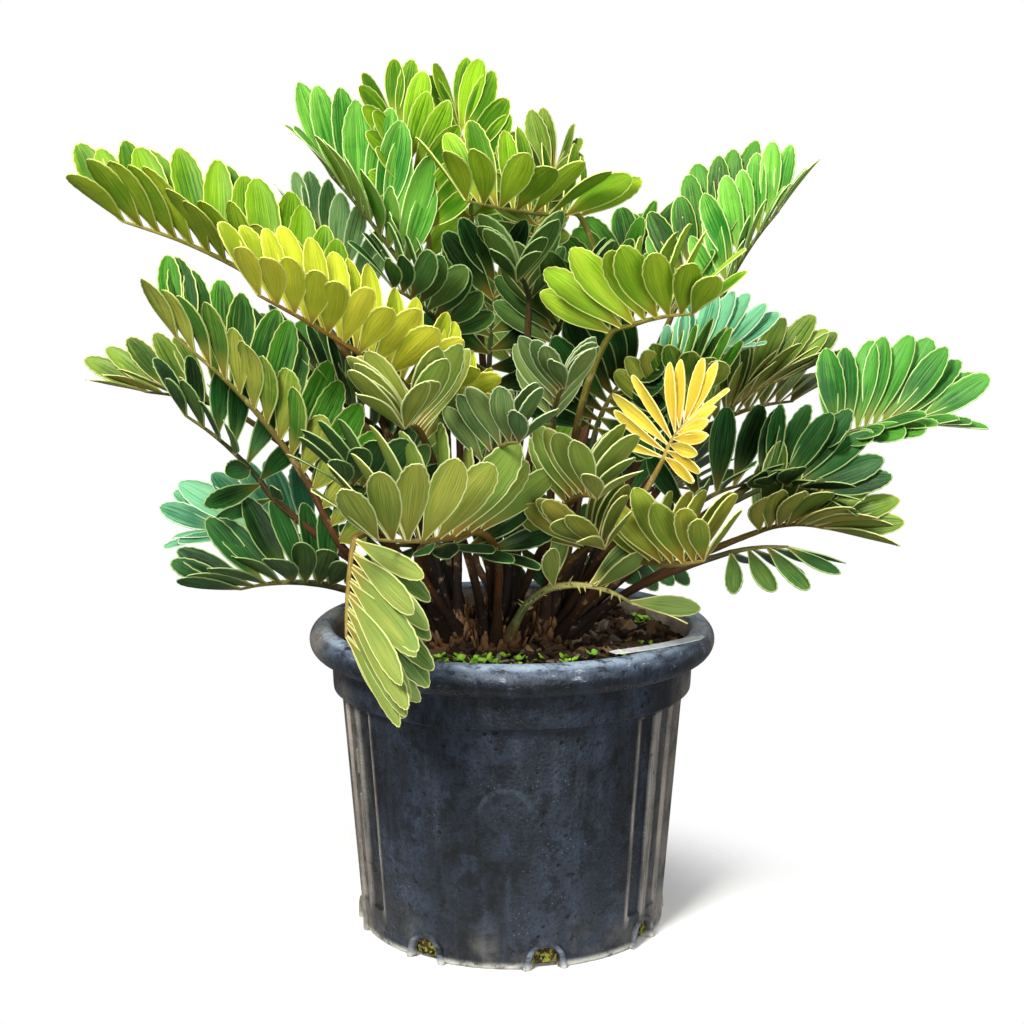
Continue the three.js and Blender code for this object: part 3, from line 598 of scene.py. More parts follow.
def weedPatch(seed):
    s = soilSizes
    dice = random.Random(seed)
    points, faces, tones = [], [], []
    for i in range(s["weeds"]):
        if i < s["frontWeeds"]:
            x, y = dice.gauss(-0.008, 0.034), dice.uniform(-0.118, -0.066)
        elif i < s["frontWeeds"] + s["rightWeeds"]:
            x, y = dice.gauss(0.13, 0.008), dice.uniform(0.05, 0.08)
        else:
            turn, away = dice.uniform(0, math.tau), dice.uniform(0.125, 0.165)
            x, y = away * math.cos(turn), away * math.sin(turn)
        foot = Vector((x, y, soilRise(x, y) + dice.uniform(0.003, 0.007)))
        for _ in range(dice.randint(3, 6)):
            turn = dice.uniform(0, math.tau)
            aim = Vector((math.cos(turn), math.sin(turn), dice.uniform(0.1, 0.7))).normalized()
            leafCup(points, faces, tones, foot, aim, Vector((0, 0, 1)), dice.uniform(0.004, 0.008),
                    dice.uniform(0.003, 0.006), (dice.random(), 0, 0, 1))
    piece = meshPiece("soilWeeds", points, faces, {"barkTone": tones})
    thicken(piece, 0.0004)
    smooth(piece, 60)
    return piece


def weedMaterial():
    r = Recipe("weedGreen")
    tone = r.attribute("barkTone", 2)
    speckle = r.noise(r.objectPlace(), 500, 2)
    colour = r.mix(tone * 0.8 + speckle * 0.3, "5c9a20", "c6ea4c")
    return r.finish(colour=colour, roughness=speckle * 0.2 + 0.4)


dress(soilBed(), barkMaterial("dampBark", False), "soil", "soil")
dress(scatterBark(5), barkMaterial("barkSplinters", True), "soil", "soil")
dress(weedPatch(8), weedMaterial(), "leaf_fresh")
print("soil done")


# Plant tag

tagSizes = {"long": 0.112, "wide": 0.014, "thick": 0.0008, "x": 0.138, "y": -0.118, "turn": 36,
            "bands": 12, "curl": 0.5, "hole": 0.0022, "softEdge": 0.00018}


def plantTag():
    # a blank strip with a rounded end, a pointed end and a punched hole
    t = tagSizes
    clearSelection()
    bpy.ops.mesh.primitive_cube_add(size=1)
    strip = bpy.context.object
    strip.scale = (t["long"], t["wide"], t["thick"])
    applyPlace(strip)
    editOnly(strip)
    for i in range(1, t["bands"]):
        bpy.ops.mesh.select_all(action="SELECT")
        bpy.ops.mesh.bisect(plane_co=(t["long"] * (i / t["bands"] - 0.5), 0, 0), plane_no=(1, 0, 0))
    pick(strip, "verts", lambda place: place.x > t["long"] * 0.49)
    bpy.ops.transform.resize(value=(1, 0.3, 1), center_override=(0, 0, 0))
    pick(strip, "verts", lambda place: place.x < -t["long"] * 0.49)
    bpy.ops.transform.resize(value=(1, 0.7, 1), center_override=(0, 0, 0))
    bpy.ops.object.mode_set(mode="OBJECT")
    bpy.ops.mesh.primitive_cylinder_add(vertices=24, radius=t["hole"], depth=0.01,
                                        location=(-t["long"] * 0.42, 0, 0))
    punch = bpy.context.object
    hole = strip.modifiers.new("hole", "BOOLEAN")
    hole.object = punch
    bevel = strip.modifiers.new("softEdge", "BEVEL")
    bevel.width = t["softEdge"]
    bevel.limit_method = "ANGLE"
    applyModifiers(strip)
    bpy.data.objects.remove(punch)
    for vertex in strip.data.vertices:
        vertex.co.z += t["curl"] * vertex.co.x * vertex.co.x
    strip.rotation_euler = (0, 0, math.radians(t["turn"]))
    strip.location = (t["x"], t["y"], potSizes["height"] + 0.0005)
    applyPlace(strip)
    strip.name = "plantTag"
    smooth(strip, 40)
    return strip


def tagPlastic():
    r = Recipe("weatheredTag")
    place = r.objectPlace()
    dirt = r.noise(place, 120, 4, 0.65)
    colour = r.mix(dirt.step(0.45, 0.75), "e4e7e9", "a9abac")
    colour = r.mix(r.noise(place, 40).step(0.55, 0.8) * 0.5, colour, "8a8578")
    r.bump(dirt, 0.0002)
    return r.finish(colour=colour, roughness=dirt * 0.25 + 0.35)


dress(plantTag(), tagPlastic(), "tag", "tag")
print("tag done")


# Growth

growth = {
    "footRadius": 4.8, "bladeRadius": 4, "steps": 4, "footLift": 0.25, "footPull": 0.38, "bladePull": 0.3,
    "rounds": 160, "samples": 20, "room": 1.4, "push": 0.5, "calm": 0.012, "seated": 3,
}
heads = {
    "front": (-12, -34, 26, 312), "left": (-58, -6, 26, 310), "right": (40, -8, 26, 314),
    "back": (-6, 44, 28, 322), "backLeft": (-62, 56, 25, 312), "backRight": (52, 54, 26, 316),
}

# name, head, first leaflets, last leaflets, bow, face,
# fold, sweep, twist, pairs, leaflet, tint and, where they are narrower, slim;
# in millimetres and degrees, as the solids grow
frondRows = [
    ("left_high", "left", (-180, 0, 598), (-373, -20, 702), 12, (0.1, -0.3, 0.95),
     54, (64, 46), 10, 10, 102, "lime"),
    ("left_gold", "front", (-50, -80, 512), (-222, -195, 642), 6, (0.1, -0.34, 0.95),
     54, (98, 42), 8, 10, 86, "gold"),
    ("left_sage", "front", (-80, -136, 506), (-92, -256, 532), 8, (-0.1, -0.2, 1),
     58, (80, 44), 56, 7, 86, "sage"),
    ("front_left", "front", (-30, -164, 426), (-116, -268, 438), -4, (0, -0.25, 1),
     64, (126, 30), 36, 8, 104, "sage"),
    ("left_hanging", "left", (-140, -206, 428), (-146, -232, 345), 6, (1, -0.3, 0.1),
     76, (56, 36), 14, 6, 110, "pale", 0.68),
    ("left_mid", "left", (-165, -85, 402), (-310, -105, 597), 16, (0.3, -0.22, 0.9),
     55, (72, 40), 12, 10, 94, "green"),
    ("left_under", "left", (-232, -36, 436), (-312, -58, 520), 6, (-0.5, -0.2, 0.7),
     40, (80, 46), 16, 5, 76, "dark"),
    ("left_far", "backLeft", (-280, 80, 504), (-370, 62, 529), 4, (0, -0.4, 1),
     46, (70, 26), 24, 5, 80, "olive"),
    ("left_teal", "backLeft", (-204, 60, 376), (-288, 44, 388), 5, (-0.2, -0.5, 0.9),
     26, (62, 26), 10, 5, 94, "teal"),
    ("left_low", "left", (-178, -40, 350), (-262, -66, 352), 5, (0.1, -0.35, 1),
     54, (84, 36), 20, 6, 90, "dark"),
    ("top_left", "backLeft", (-108, 60, 652), (-176, 28, 744), 3, (0.4, -0.45, 0.7),
     46, (58, 30), 18, 7, 112, "fresh"),
    ("top", "backLeft", (-86, 96, 690), (-118, 84, 797), 3, (0.1, -0.7, 0.6),
     38, (62, 28), 12, 7, 82, "lime"),
    ("top_mid", "back", (-42, 140, 702), (-56, 132, 802), 3, (0.1, -0.7, 0.6),
     38, (66, 28), 12, 6, 82, "lime"),
    ("top_back", "back", (24, 124, 684), (44, 112, 752), 3, (0, -0.6, 0.8),
     44, (76, 34), 16, 5, 76, "olive"),
    ("top_right", "right", (66, 20, 706), (-44, -55, 722), -3, (0, -0.3, 0.9),
     54, (118, 52), 22, 8, 86, "lime"),
    ("top_dark", "front", (16, -40, 628), (4, -165, 652), 10, (0, -0.1, 1),
     60, (74, 36), 36, 6, 76, "dark"),
    ("right_lime", "right", (92, -90, 600), (158, -190, 625), 4, (0, -0.32, 1),
     58, (114, 34), 26, 8, 92, "lime"),
    ("right_upright", "backRight", (165, 100, 606), (231, 112, 713), 4, (-0.4, -0.5, 0.6),
     40, (52, 26), 18, 7, 86, "green"),
    ("right_high", "backRight", (210, 50, 626), (262, 32, 711), 4, (-0.4, -0.4, 0.7),
     42, (52, 30), 16, 6, 82, "fresh"),
    ("right_teal", "backRight", (156, 44, 540), (212, 10, 572), 4, (-0.1, -0.5, 0.8),
     34, (62, 30), 14, 6, 80, "teal"),
    ("right_deep", "right", (138, -24, 520), (182, -92, 548), 4, (0, -0.4, 0.9),
     58, (74, 34), 26, 6, 78, "green"),
    ("right_lean", "backRight", (220, 92, 504), (278, 84, 540), 5, (-0.3, -0.3, 0.9),
     42, (48, 24), 18, 6, 88, "olive"),
    ("right_far", "right", (318, 4, 489), (396, -16, 508), 5, (-0.1, -0.6, 0.8),
     38, (76, 34), 14, 8, 94, "fresh"),
    ("right_mid", "right", (246, -22, 444), (292, -50, 444), 5, (-0.1, -0.5, 0.9),
     48, (76, 36), 16, 6, 90, "dark"),
    ("right_low", "right", (240, -40, 404), (300, -62, 411), 5, (0, -0.3, 1),
     50, (72, 20), 10, 6, 90, "olive"),
    ("right_hanging", "right", (208, -85, 392), (260, -100, 400), 2, (0.35, -0.1, -1),
     30, (82, 32), 8, 3, 76, "dark", 0.8),
    ("front_right", "right", (120, -150, 396), (162, -290, 424), -3, (0, -0.2, 1),
     60, (124, 36), 36, 7, 78, "pale"),
    ("front_mid", "front", (50, -150, 448), (72, -285, 476), 6, (0.1, -0.2, 1),
     58, (84, 36), 36, 6, 78, "sage"),
    ("young", "right", (136, -178, 496), (156, -196, 532), 3, (-0.2, -0.7, 0.6),
     30, (84, 14), 18, 6, 70, "young", 0.62),
    ("mid_sage", "right", (38, -95, 520), (46, -215, 562), 8, (0, -0.2, 1),
     58, (72, 34), 36, 6, 70, "grey"),
    ("mid_grey", "front", (-26, -150, 486), (6, -255, 520), 6, (0, -0.2, 1),
     58, (72, 34), 36, 5, 70, "grey"),
    ("broken", "front", (36, -108, 362), (112, -130, 352), 9, (0.1, -0.2, 1),
     58, (70, 30), 36, 3, 74, "pale"),
    ("high_grey", "backLeft", (-158, 100, 616), (-206, 92, 694), 4, (0.3, -0.5, 0.8),
     44, (58, 26), 16, 5, 72, "grey"),
    ("inner_high", "left", (-64, 20, 590), (-112, -60, 640), 6, (0.1, -0.4, 0.9),
     50, (70, 32), 36, 6, 78, "dark"),
    ("inner_left", "left", (-120, 30, 480), (-196, -14, 540), 6, (0.1, -0.4, 0.9),
     48, (70, 32), 36, 6, 82, "dark"),
    ("inner_low", "left", (-112, -110, 440), (-150, -200, 474), 6, (0, -0.3, 1),
     52, (72, 34), 36, 5, 78, "dark"),
    ("inner_right", "right", (84, 24, 496), (116, -16, 556), 6, (0, -0.8, 0.4),
     36, (80, 34), 20, 6, 98, "dark"),
    ("inner_mid", "left", (-86, -90, 397), (-22, -118, 400), 4, (0, -0.6, 0.8),
     36, (64, 26), 16, 4, 86, "dark"),
    ("inner_top", "back", (40, 40, 580), (60, -40, 622), 6, (0, -0.3, 1),
     52, (84, 40), 36, 5, 86, "dark"),
    ("inner_side", "right", (178, 44, 408), (244, 34, 440), 6, (0, -0.5, 1),
     50, (84, 40), 20, 4, 90, "dark"),
    ("inner_front", "front", (66, -120, 402), (82, -215, 420), 4, (-0.3, -0.2, 1),
     54, (82, 38), 36, 5, 76, "olive"),
    ("inner_core", "back", (-24, 92, 530), (-16, 74, 640), 4, (0, -0.8, 0.3),
     32, (82, 30), 20, 5, 92, "dark"),
    ("inner_low_left", "backLeft", (-62, 118, 352), (-140, 130, 356), 5, (0, -0.9, 0.3),
     22, (72, 40), 20, 4, 62, "dark"),
    ("inner_low_back", "back", (-36, 134, 350), (50, 136, 354), 5, (0, -0.9, 0.3),
     22, (72, 40), 20, 4, 62, "dark"),
    ("inner_low_right", "backRight", (72, 122, 352), (150, 128, 356), 5, (0, -0.9, 0.3),
     22, (72, 40), 20, 4, 62, "dark"),
    ("back_left_high", "backLeft", (-90, 170, 640), (-150, 290, 702), 8, (0, 0.35, 1),
     50, (74, 30), 36, 6, 98, "lime"),
    ("back_high", "back", (6, 210, 640), (14, 330, 690), 8, (0, 0.35, 1),
     50, (74, 30), 36, 6, 98, "fresh"),
    ("back_right_high", "backRight", (100, 170, 606), (170, 300, 656), 8, (0, 0.35, 1),
     50, (74, 30), 36, 6, 98, "green"),
    ("back_left", "backLeft", (-165, 150, 500), (-282, 250, 545), 8, (0, 0.3, 1),
     50, (74, 30), 36, 6, 98, "green"),
    ("back_right", "backRight", (190, 160, 470), (310, 236, 500), 8, (0, 0.3, 1),
     50, (74, 30), 36, 6, 98, "olive"),
    ("back_mid", "back", (4, 200, 540), (20, 350, 575), 8, (0, 0.3, 1),
     50, (74, 30), 36, 6, 98, "sage"),
    ("back_left_low", "backLeft", (-110, 200, 400), (-190, 330, 400), 10, (0, 0.3, 1),
     48, (76, 30), 36, 6, 98, "sage"),
    ("back_low", "back", (8, 220, 410), (16, 375, 402), 10, (0, 0.3, 1),
     48, (76, 30), 36, 6, 98, "lime"),
    ("back_right_low", "backRight", (120, 200, 390), (205, 325, 388), 10, (0, 0.3, 1),
     48, (76, 30), 36, 6, 98, "dark"),
]


frondKeys = ("name", "head", "start", "tip", "bow", "face",
             "fold", "sweep", "twist", "pairs", "leaflet", "tint", "slim")
fronds = [{"slim": 1, **dict(zip(frondKeys, row))} for row in frondRows]
splitFronds = ("left_hanging", "right_hanging")


def unit(vector):
    return vector / np.linalg.norm(vector)


def offLine(vector, along):
    return vector - along * np.dot(vector, along) / np.dot(along, along)


class Line:
    # a frond's stalk nodes and its blade curve
    def __init__(self, frond):
        x, y, self.radius, top = heads[frond["head"]]
        start, tip = np.array(frond["start"], float), np.array(frond["tip"], float)
        upward = unit(offLine(np.array([0, 0, 1.0]), unit(tip - start)))
        self.start, self.tip = start, tip
        self.crest = (start + tip) / 2 + upward * 2 * frond["bow"]
        self.centre = np.array([x, y, top - self.radius], float)
        outward = unit(start - self.centre)
        outward[2] += growth["footLift"]
        outward = unit(outward)
        foot = self.centre + outward * self.radius
        reach = np.linalg.norm(start - foot)
        pull = foot + outward * reach * growth["footPull"]
        lean = start - self.tangent(0) * reach * growth["bladePull"]
        shares = np.linspace(0, 1, growth["steps"] + 1)[:, None]
        rest = 1 - shares
        self.stalk = (rest ** 3 * foot + 3 * rest ** 2 * shares * pull + 3 * rest * shares ** 2 * lean
                      + shares ** 3 * start)
        self.blade = np.array([self.point(share) for share in np.linspace(0, 1, growth["steps"] + 1)])

    def point(self, share):
        rest = 1 - share
        return rest * rest * self.start + 2 * rest * share * self.crest + share * share * self.tip

    def tangent(self, share):
        return unit((1 - share) * (self.crest - self.start) + share * (self.tip - self.crest))


def spreadStalks(lines):
    # stalks crowd each other: where two come too close both give way
    g = growth
    shares = np.linspace(0, 1, g["samples"] + 1)
    steps = g["steps"]
    cell = np.minimum(steps - 1, (shares * steps).astype(int))
    part = shares * steps - cell
    radii = g["footRadius"] + (g["bladeRadius"] - g["footRadius"]) * shares
    count, many = len(lines), len(shares)

    def sample(nodes):
        return nodes[cell] * (1 - part[:, None]) + nodes[cell + 1] * part[:, None]

    def nearest(first, second):
        a, b = first.reshape(-1, 3), second.reshape(-1, 3)
        away = (a * a).sum(1)[:, None] + (b * b).sum(1)[None, :] - 2 * a @ b.T
        away = away.reshape(count, many, count, many).transpose(0, 2, 1, 3).reshape(count, count, -1)
        best = away.argmin(2)
        return best // many, best % many

    def giveWay(line, k, shift):
        line.stalk[cell[k]] += shift * (1 - part[k])
        if cell[k] + 1 < steps:
            line.stalk[cell[k] + 1] += shift * part[k]

    blades = np.array([sample(line.blade) for line in lines])
    for turn in range(g["rounds"]):
        stalks = np.array([sample(line.stalk) for line in lines])
        ownFirst, ownSecond = nearest(stalks, stalks)
        offFirst, offSecond = nearest(stalks, blades)
        for m in range(count):
            for n in range(count):
                if n < m:
                    i, j = ownFirst[m, n], ownSecond[m, n]
                    shift = stalks[m, i] - stalks[n, j]
                    away = np.linalg.norm(shift)
                    need = radii[i] + radii[j] + g["room"]
                    if away < need:
                        shift = shift / away * (need - away) * g["push"]
                        giveWay(lines[m], i, shift)
                        giveWay(lines[n], j, -shift)
                if n != m:
                    i, j = offFirst[m, n], offSecond[m, n]
                    shift = stalks[m, i] - blades[n, j]
                    away = np.linalg.norm(shift)
                    need = radii[i] + g["bladeRadius"] + g["room"]
                    if away < need:
                        giveWay(lines[m], i, shift / away * (need - away) * 2 * g["push"])
        for line in lines:
            nodes = line.stalk
            for k in range(1, len(nodes) - 1):
                middle = (nodes[k - 1] + nodes[k + 1]) / 2
                nodes[k] += (middle - nodes[k]) * g["calm"] * (1 - turn / g["rounds"])
            nodes[0] = line.centre + unit(nodes[0] - line.centre) * (line.radius - g["seated"])


leafSizes = {
    "crowd": 1.35, "outward": 0.7, "foldSpread": 5, "sweepSpread": 5, "twistSpread": 9,
    "facingTwist": 36, "facingSweep": 100, "lengthSpread": 0.07, "shortEnds": 0.16, "stagger": 0.12,
    "rows": 16, "columns": 6, "thick": 0.9,
    "wide": 0.31, "wideSpread": (0.94, 1.08), "widest": 0.62, "base": 0.11, "blunt": (1.9, 2.6),
    "point": (0.5, 0.66), "teeth": 0.03, "toothSpread": (0.4, 1.3), "cup": (0.10, 0.24),
    "bend": (0.02, 0.05), "skew": (0, 0.035), "ripple": (0.1, 0.5),
}


def seededRandom(seed):
    state = seed
    while True:
        state = (state * 16807) % 2147483647
        yield state / 2147483647


def leafletPlaces(frond, line, seed):
    s = leafSizes
    stream = seededRandom(seed)

    def spread(amount):
        return amount * (2 * next(stream) - 1)

    face = np.array(frond["face"], float)
    places = []
    facing = frond["twist"] == s["facingTwist"] or frond["sweep"][0] > s["facingSweep"]
    hidden = frond["name"].startswith(("back", "inner"))
    pairs = frond["pairs"] if facing and not hidden else round(frond["pairs"] * s["crowd"])
    for pair in range(pairs):
        share = pair / (pairs - 1)
        for hand in (-1, 1):
            at = min(1, max(0, share + hand * s["stagger"] / pairs))
            along = line.tangent(at)
            opening = unit(offLine(face, along))
            side = np.cross(along, opening) * hand
            fold = math.radians(frond["fold"] + spread(s["foldSpread"]))
            first, last = frond["sweep"]
            sweep = math.radians(first + (last - first) * at + spread(s["sweepSpread"]))
            rise = side * math.cos(fold) + opening * math.sin(fold)
            reach = along * math.cos(sweep) + rise * math.sin(sweep)
            twist = math.radians(frond["twist"] + spread(s["twistSpread"]))
            inward = opening * math.cos(fold) - side * math.sin(fold)
            normal = unit(offLine(inward * math.cos(twist) - along * math.sin(twist), reach))
            if facing:
                # front leaflets turn their faces a little outward, to the light
                outward = unit(line.point(at) * np.array([1, 1, 0]))
                turned = normal + outward * s["outward"] * math.copysign(1, np.dot(normal, outward))
                normal = unit(offLine(turned, reach))
            full = 1 - s["shortEnds"] * (2 * at - 1) ** 2
            length = frond["leaflet"] * full * (1 + spread(s["lengthSpread"]))
            places.append({"root": line.point(at), "along": reach, "across": np.cross(normal, reach),
                           "normal": normal, "length": length, "at": at, "hand": hand})
    return places


# Leaflets


def leafletGrid(dice, length, wide):
    # one leaflet in its own frame: columns across, rows along, blunt toothed tip, raised margins
    s = leafSizes
    rows, columns = s["rows"], s["columns"]
    i = np.arange(rows + 1)
    u = np.sin(i / rows * math.pi / 2) ** 0.92
    u[-1] = 1
    blunt, point = dice.uniform(*s["blunt"]), dice.uniform(*s["point"])
    low = np.clip(u / s["widest"], 0, 1)
    high = np.clip((u - s["widest"]) / (1 - s["widest"]), 0, 1)
    half = np.where(u < s["widest"], s["base"] + (1 - s["base"]) * np.sin(low * math.pi / 2) ** 1.3,
                    np.maximum(1 - high ** blunt, 0.004) ** point)
    teeth = np.where((u > 0.6) & (i < rows), np.where(i % 2 == 0, s["teeth"], -s["teeth"]), 0)
    half = (half + teeth * dice.uniform(*s["toothSpread"])) * wide / 2
    half[-1] = wide * 0.055
    v = np.linspace(-1, 1, columns + 1)
    v = np.sign(v) * np.abs(v) ** 0.8
    uu, vv = np.meshgrid(u, v, indexing="ij")
    hh = half[:, None]
    cup = dice.uniform(*s["cup"])
    bend = dice.gauss(*s["bend"])
    skew = dice.gauss(*s["skew"])
    ripple = dice.uniform(*s["ripple"])
    wave = dice.uniform(0, math.tau)
    x = length * uu
    y = hh * vv + length * skew * uu * uu
    z = cup * hh * vv * vv - length * bend * uu * uu
    z = z + ripple * 1.6 * np.sin(uu * 7 + wave + vv * 1.4) * uu
    z = z - 1.375 * np.maximum(np.abs(vv) - 0.8, 0)
    thick = s["thick"] * (0.75 + 0.35 * np.abs(vv) ** 3) * np.clip(0.9 + 0.6 * (1 - uu), 0, 1.4)
    edge = np.minimum((1 - np.abs(vv)) * hh, (1 - uu) * length * 0.8)
    top = np.stack([x, y, z + thick / 2], axis=-1).reshape(-1, 3)
    bottom = np.stack([x, y, z - thick / 2], axis=-1).reshape(-1, 3)
    places = np.stack([uu, vv * 0.5 + 0.5], axis=-1).reshape(-1, 2)
    return np.vstack([top, bottom]), places, edge.ravel()


def leafletFaces():
    rows, columns = leafSizes["rows"], leafSizes["columns"]
    wide = columns + 1
    under = (rows + 1) * wide
    top = [(r * wide + c, (r + 1) * wide + c, (r + 1) * wide + c + 1, r * wide + c + 1)
           for r in range(rows) for c in range(columns)]
    faces = top + [tuple(under + k for k in reversed(quad)) for quad in top]
    border = list(range(wide)) + [r * wide + columns for r in range(1, rows + 1)]
    border += [rows * wide + c for c in range(columns - 1, -1, -1)]
    border += [r * wide for r in range(rows - 1, 0, -1)]
    for k, a in enumerate(border):
        b = border[(k + 1) % len(border)]
        faces.append((a, b, under + b, under + a))
    return np.array(faces)


leafletPattern = leafletFaces()


def frondLeaves(frond, line, order):
    dice = random.Random(900 + order)
    points, faces, tones, maps = [], [], [], []
    for place in leafletPlaces(frond, line, 101 + order):
        length = place["length"]
        wide = length * leafSizes["wide"] * frond["slim"] * dice.uniform(*leafSizes["wideSpread"])
        grid, uv, edge = leafletGrid(dice, length, wide)
        axes = np.stack([place["along"], place["across"], place["normal"]])
        placed = (place["root"] + grid @ axes) / 1000
        half = len(uv)
        faces.append(leafletPattern + sum(len(p) for p in points))
        points.append(placed)
        maps.append(np.vstack([uv, uv]))
        tone = np.empty((2 * half, 4))
        tone[:, 0] = dice.random()
        tone[:half, 1] = 0
        tone[half:, 1] = 1
        tone[:, 2] = np.tile(np.clip(edge / 20, 0, 1), 2)
        tone[:, 3] = place["at"]
        tones.append(tone)
    piece = meshPiece("leaflets_" + frond["name"], np.vstack(points), np.vstack(faces),
                      {"leafTone": np.vstack(tones)}, np.vstack(maps))
    smooth(piece, 50)
    return piece


# upper side near the edge and in the middle, where the darker colour is also painted shade; underside;
# margin
leafTints = {
    "lime": ("96c620", "3c700c", "b0c232", "dee284"),
    "left_high": ("76a212", "2e600a", "b0c22e", "d4d872"),
    "gold": ("c8d032", "7e9418", "e2da40", "ece67e"),
    "sage": ("88a43e", "3e5e1e", "9a9a3c", "dadf9c"),
    "pale": ("86a04e", "426424", "929a44", "d6d88e"),
    "front_right": ("9cb436", "426016", "a8962e", "d8d684"),
    "green": ("4c9222", "123e0a", "b8b648", "ccd684"),
    "olive": ("7c9a34", "2c4a14", "a09236", "d2d28a"),
    "teal": ("74ba8a", "266844", "98b884", "d2e8c0"),
    # the dark tint is a deep green made darker with painted shade, for fronds inside and under the crown
    "dark": ("265e26", "072207", "566e2c", "a2ba78"),
    "fresh": ("80c648", "22721c", "a4b84a", "dceea2"),
    "right_far": ("529e32", "16541a", "86a044", "c6da92"),
    "grey": ("6a9052", "244a1a", "84944e", "c6d4a4"),
    "young": ("f4e050", "ccae32", "e0a844", "f8eea2"),
}


def leafMaterial(tint):
    r = Recipe("leaf_" + tint)
    bright, deep, under, margin = leafTints[tint]
    along, across, _ = r.split(r.node("ShaderNodeUVMap", {"uv_map": "growthMap"}))
    tone, below, edge = r.split(r.attribute("leafTone", 0), "ShaderNodeSeparateColor")
    place = r.objectPlace()
    mottle = r.noise(place, 34, 3, 0.6, 0.6)
    fine = r.noise(place, 420, 2, 0.6)
    grown = r.node("ShaderNodeCombineXYZ", None, {0: along * 1.4, 1: across * 15.0, 2: tone * 40.0})
    veins = r.noise(grown, 1.0, 3, 0.6)
    combed = r.node("ShaderNodeCombineXYZ", None, {0: along * 2.0, 1: across * 60.0, 2: tone * 90.0})
    hairs = r.noise(combed, 1.0, 2)
    # painted shade: each leaflet is darker toward its base and its middle
    middle = along.step(1.0, 0.2) * 0.6 + edge.step(0.04, 0.5) * 0.45
    patch = (veins - 0.5) * 2.8 + (mottle - 0.5) * 1.0 + (tone - 0.5) * 1.0
    # leaflets differ from one another, and their undersides are darker toward the base with painted shade
    lower = r.coat(
        r.mix(patch + mottle * 0.6 + 0.15, under, bright),
        (along.step(0.8, 0.1) * 0.5 + (tone - 0.5) * 0.7, deep),
    )
    body = r.coat(
        r.mix(middle + patch + (tone - 0.5) * 0.5, bright, deep),
        (below * 0.85, lower),
        (hairs.step(0.52, 0.7) * 0.16, margin),
        (hairs.step(0.48, 0.38) * 0.5, deep),
        (along.step(0.5, 0.05) * (mottle * 0.5 + tone * 0.4), under),
        (along.step(0.3, 0.03) * (tone * 0.5 + 0.3), "8a5c1e"),
        (fine.step(0.7, 0.8) * tone * 0.4, "6a4c20"),
        # painted shadow of the overlapping neighbour along one side of each leaflet
        (across.step(0.34, 0.02) * 0.55, deep),
        (edge.step(0.07, 0.03) * (mottle * 0.6 + 0.55), margin),
    )
    roughness = fine * 0.15 + veins * 0.15 + 0.27 + below * 0.25
    r.bump(hairs * 0.35 + veins * 0.5 + fine * 0.2, 0.0006)
    return r.finish(colour=body, roughness=roughness, shine=0.18)


# Stalks

stalkSizes = {"sides": 10, "spacing": 5.0, "sheath": 34, "sheathRadius": 8.2, "ruffle": 0.05,
              "shares": (0, 0.62, 1), "radii": (4.7, 3.5, 1.3)}


def smoothLine(nodes, spacing):
    # curve through the nodes, at an even spacing
    gaps = np.linalg.norm(np.diff(nodes, axis=0), axis=1)
    knots = np.concatenate([[0], np.cumsum(gaps)])
    slopes = np.empty_like(nodes)
    slopes[1:-1] = (nodes[2:] - nodes[:-2]) / (knots[2:] - knots[:-2])[:, None]
    slopes[0] = (nodes[1] - nodes[0]) / gaps[0]
    slopes[-1] = (nodes[-1] - nodes[-2]) / gaps[-1]
    at = np.linspace(0, knots[-1], max(6, int(knots[-1] / spacing)))
    k = np.clip(np.searchsorted(knots, at, side="right") - 1, 0, len(nodes) - 2)
    h = gaps[k][:, None]
    t = (at - knots[k])[:, None] / h
    curve = ((2 * t ** 3 - 3 * t ** 2 + 1) * nodes[k] + (t ** 3 - 2 * t ** 2 + t) * h * slopes[k]
             + (3 * t ** 2 - 2 * t ** 3) * nodes[k + 1] + (t ** 3 - t ** 2) * h * slopes[k + 1])
    return curve, at


def tube(curve, radii, sides, dice):
    ruffle = stalkSizes["ruffle"]
    along = np.gradient(curve, axis=0)
    along /= np.linalg.norm(along, axis=1)[:, None]
    side = unit(np.cross(along[0], [0.3, 0.2, 1.0]))
    points = []
    for centre, way, radius in zip(curve, along, radii):
        side = unit(offLine(side, way))
        other = np.cross(way, side)
        for k in range(sides):
            turn = math.tau * k / sides
            out = radius * (1 + dice.uniform(-ruffle, ruffle))
            points.append(centre + (side * math.cos(turn) + other * math.sin(turn)) * out)
    rings = len(curve)
    faces = [(i * sides + k, i * sides + (k + 1) % sides,
              (i + 1) * sides + (k + 1) % sides, (i + 1) * sides + k)
             for i in range(rings - 1) for k in range(sides)]
    points += [curve[0] - along[0] * radii[0] * 0.4, curve[-1] + along[-1] * radii[-1] * 1.6]
    low, high = len(points) - 2, len(points) - 1
    last = (rings - 1) * sides
    faces += [(low, (k + 1) % sides, k) for k in range(sides)]
    faces += [(high, last + k, last + (k + 1) % sides) for k in range(sides)]
    return points, faces


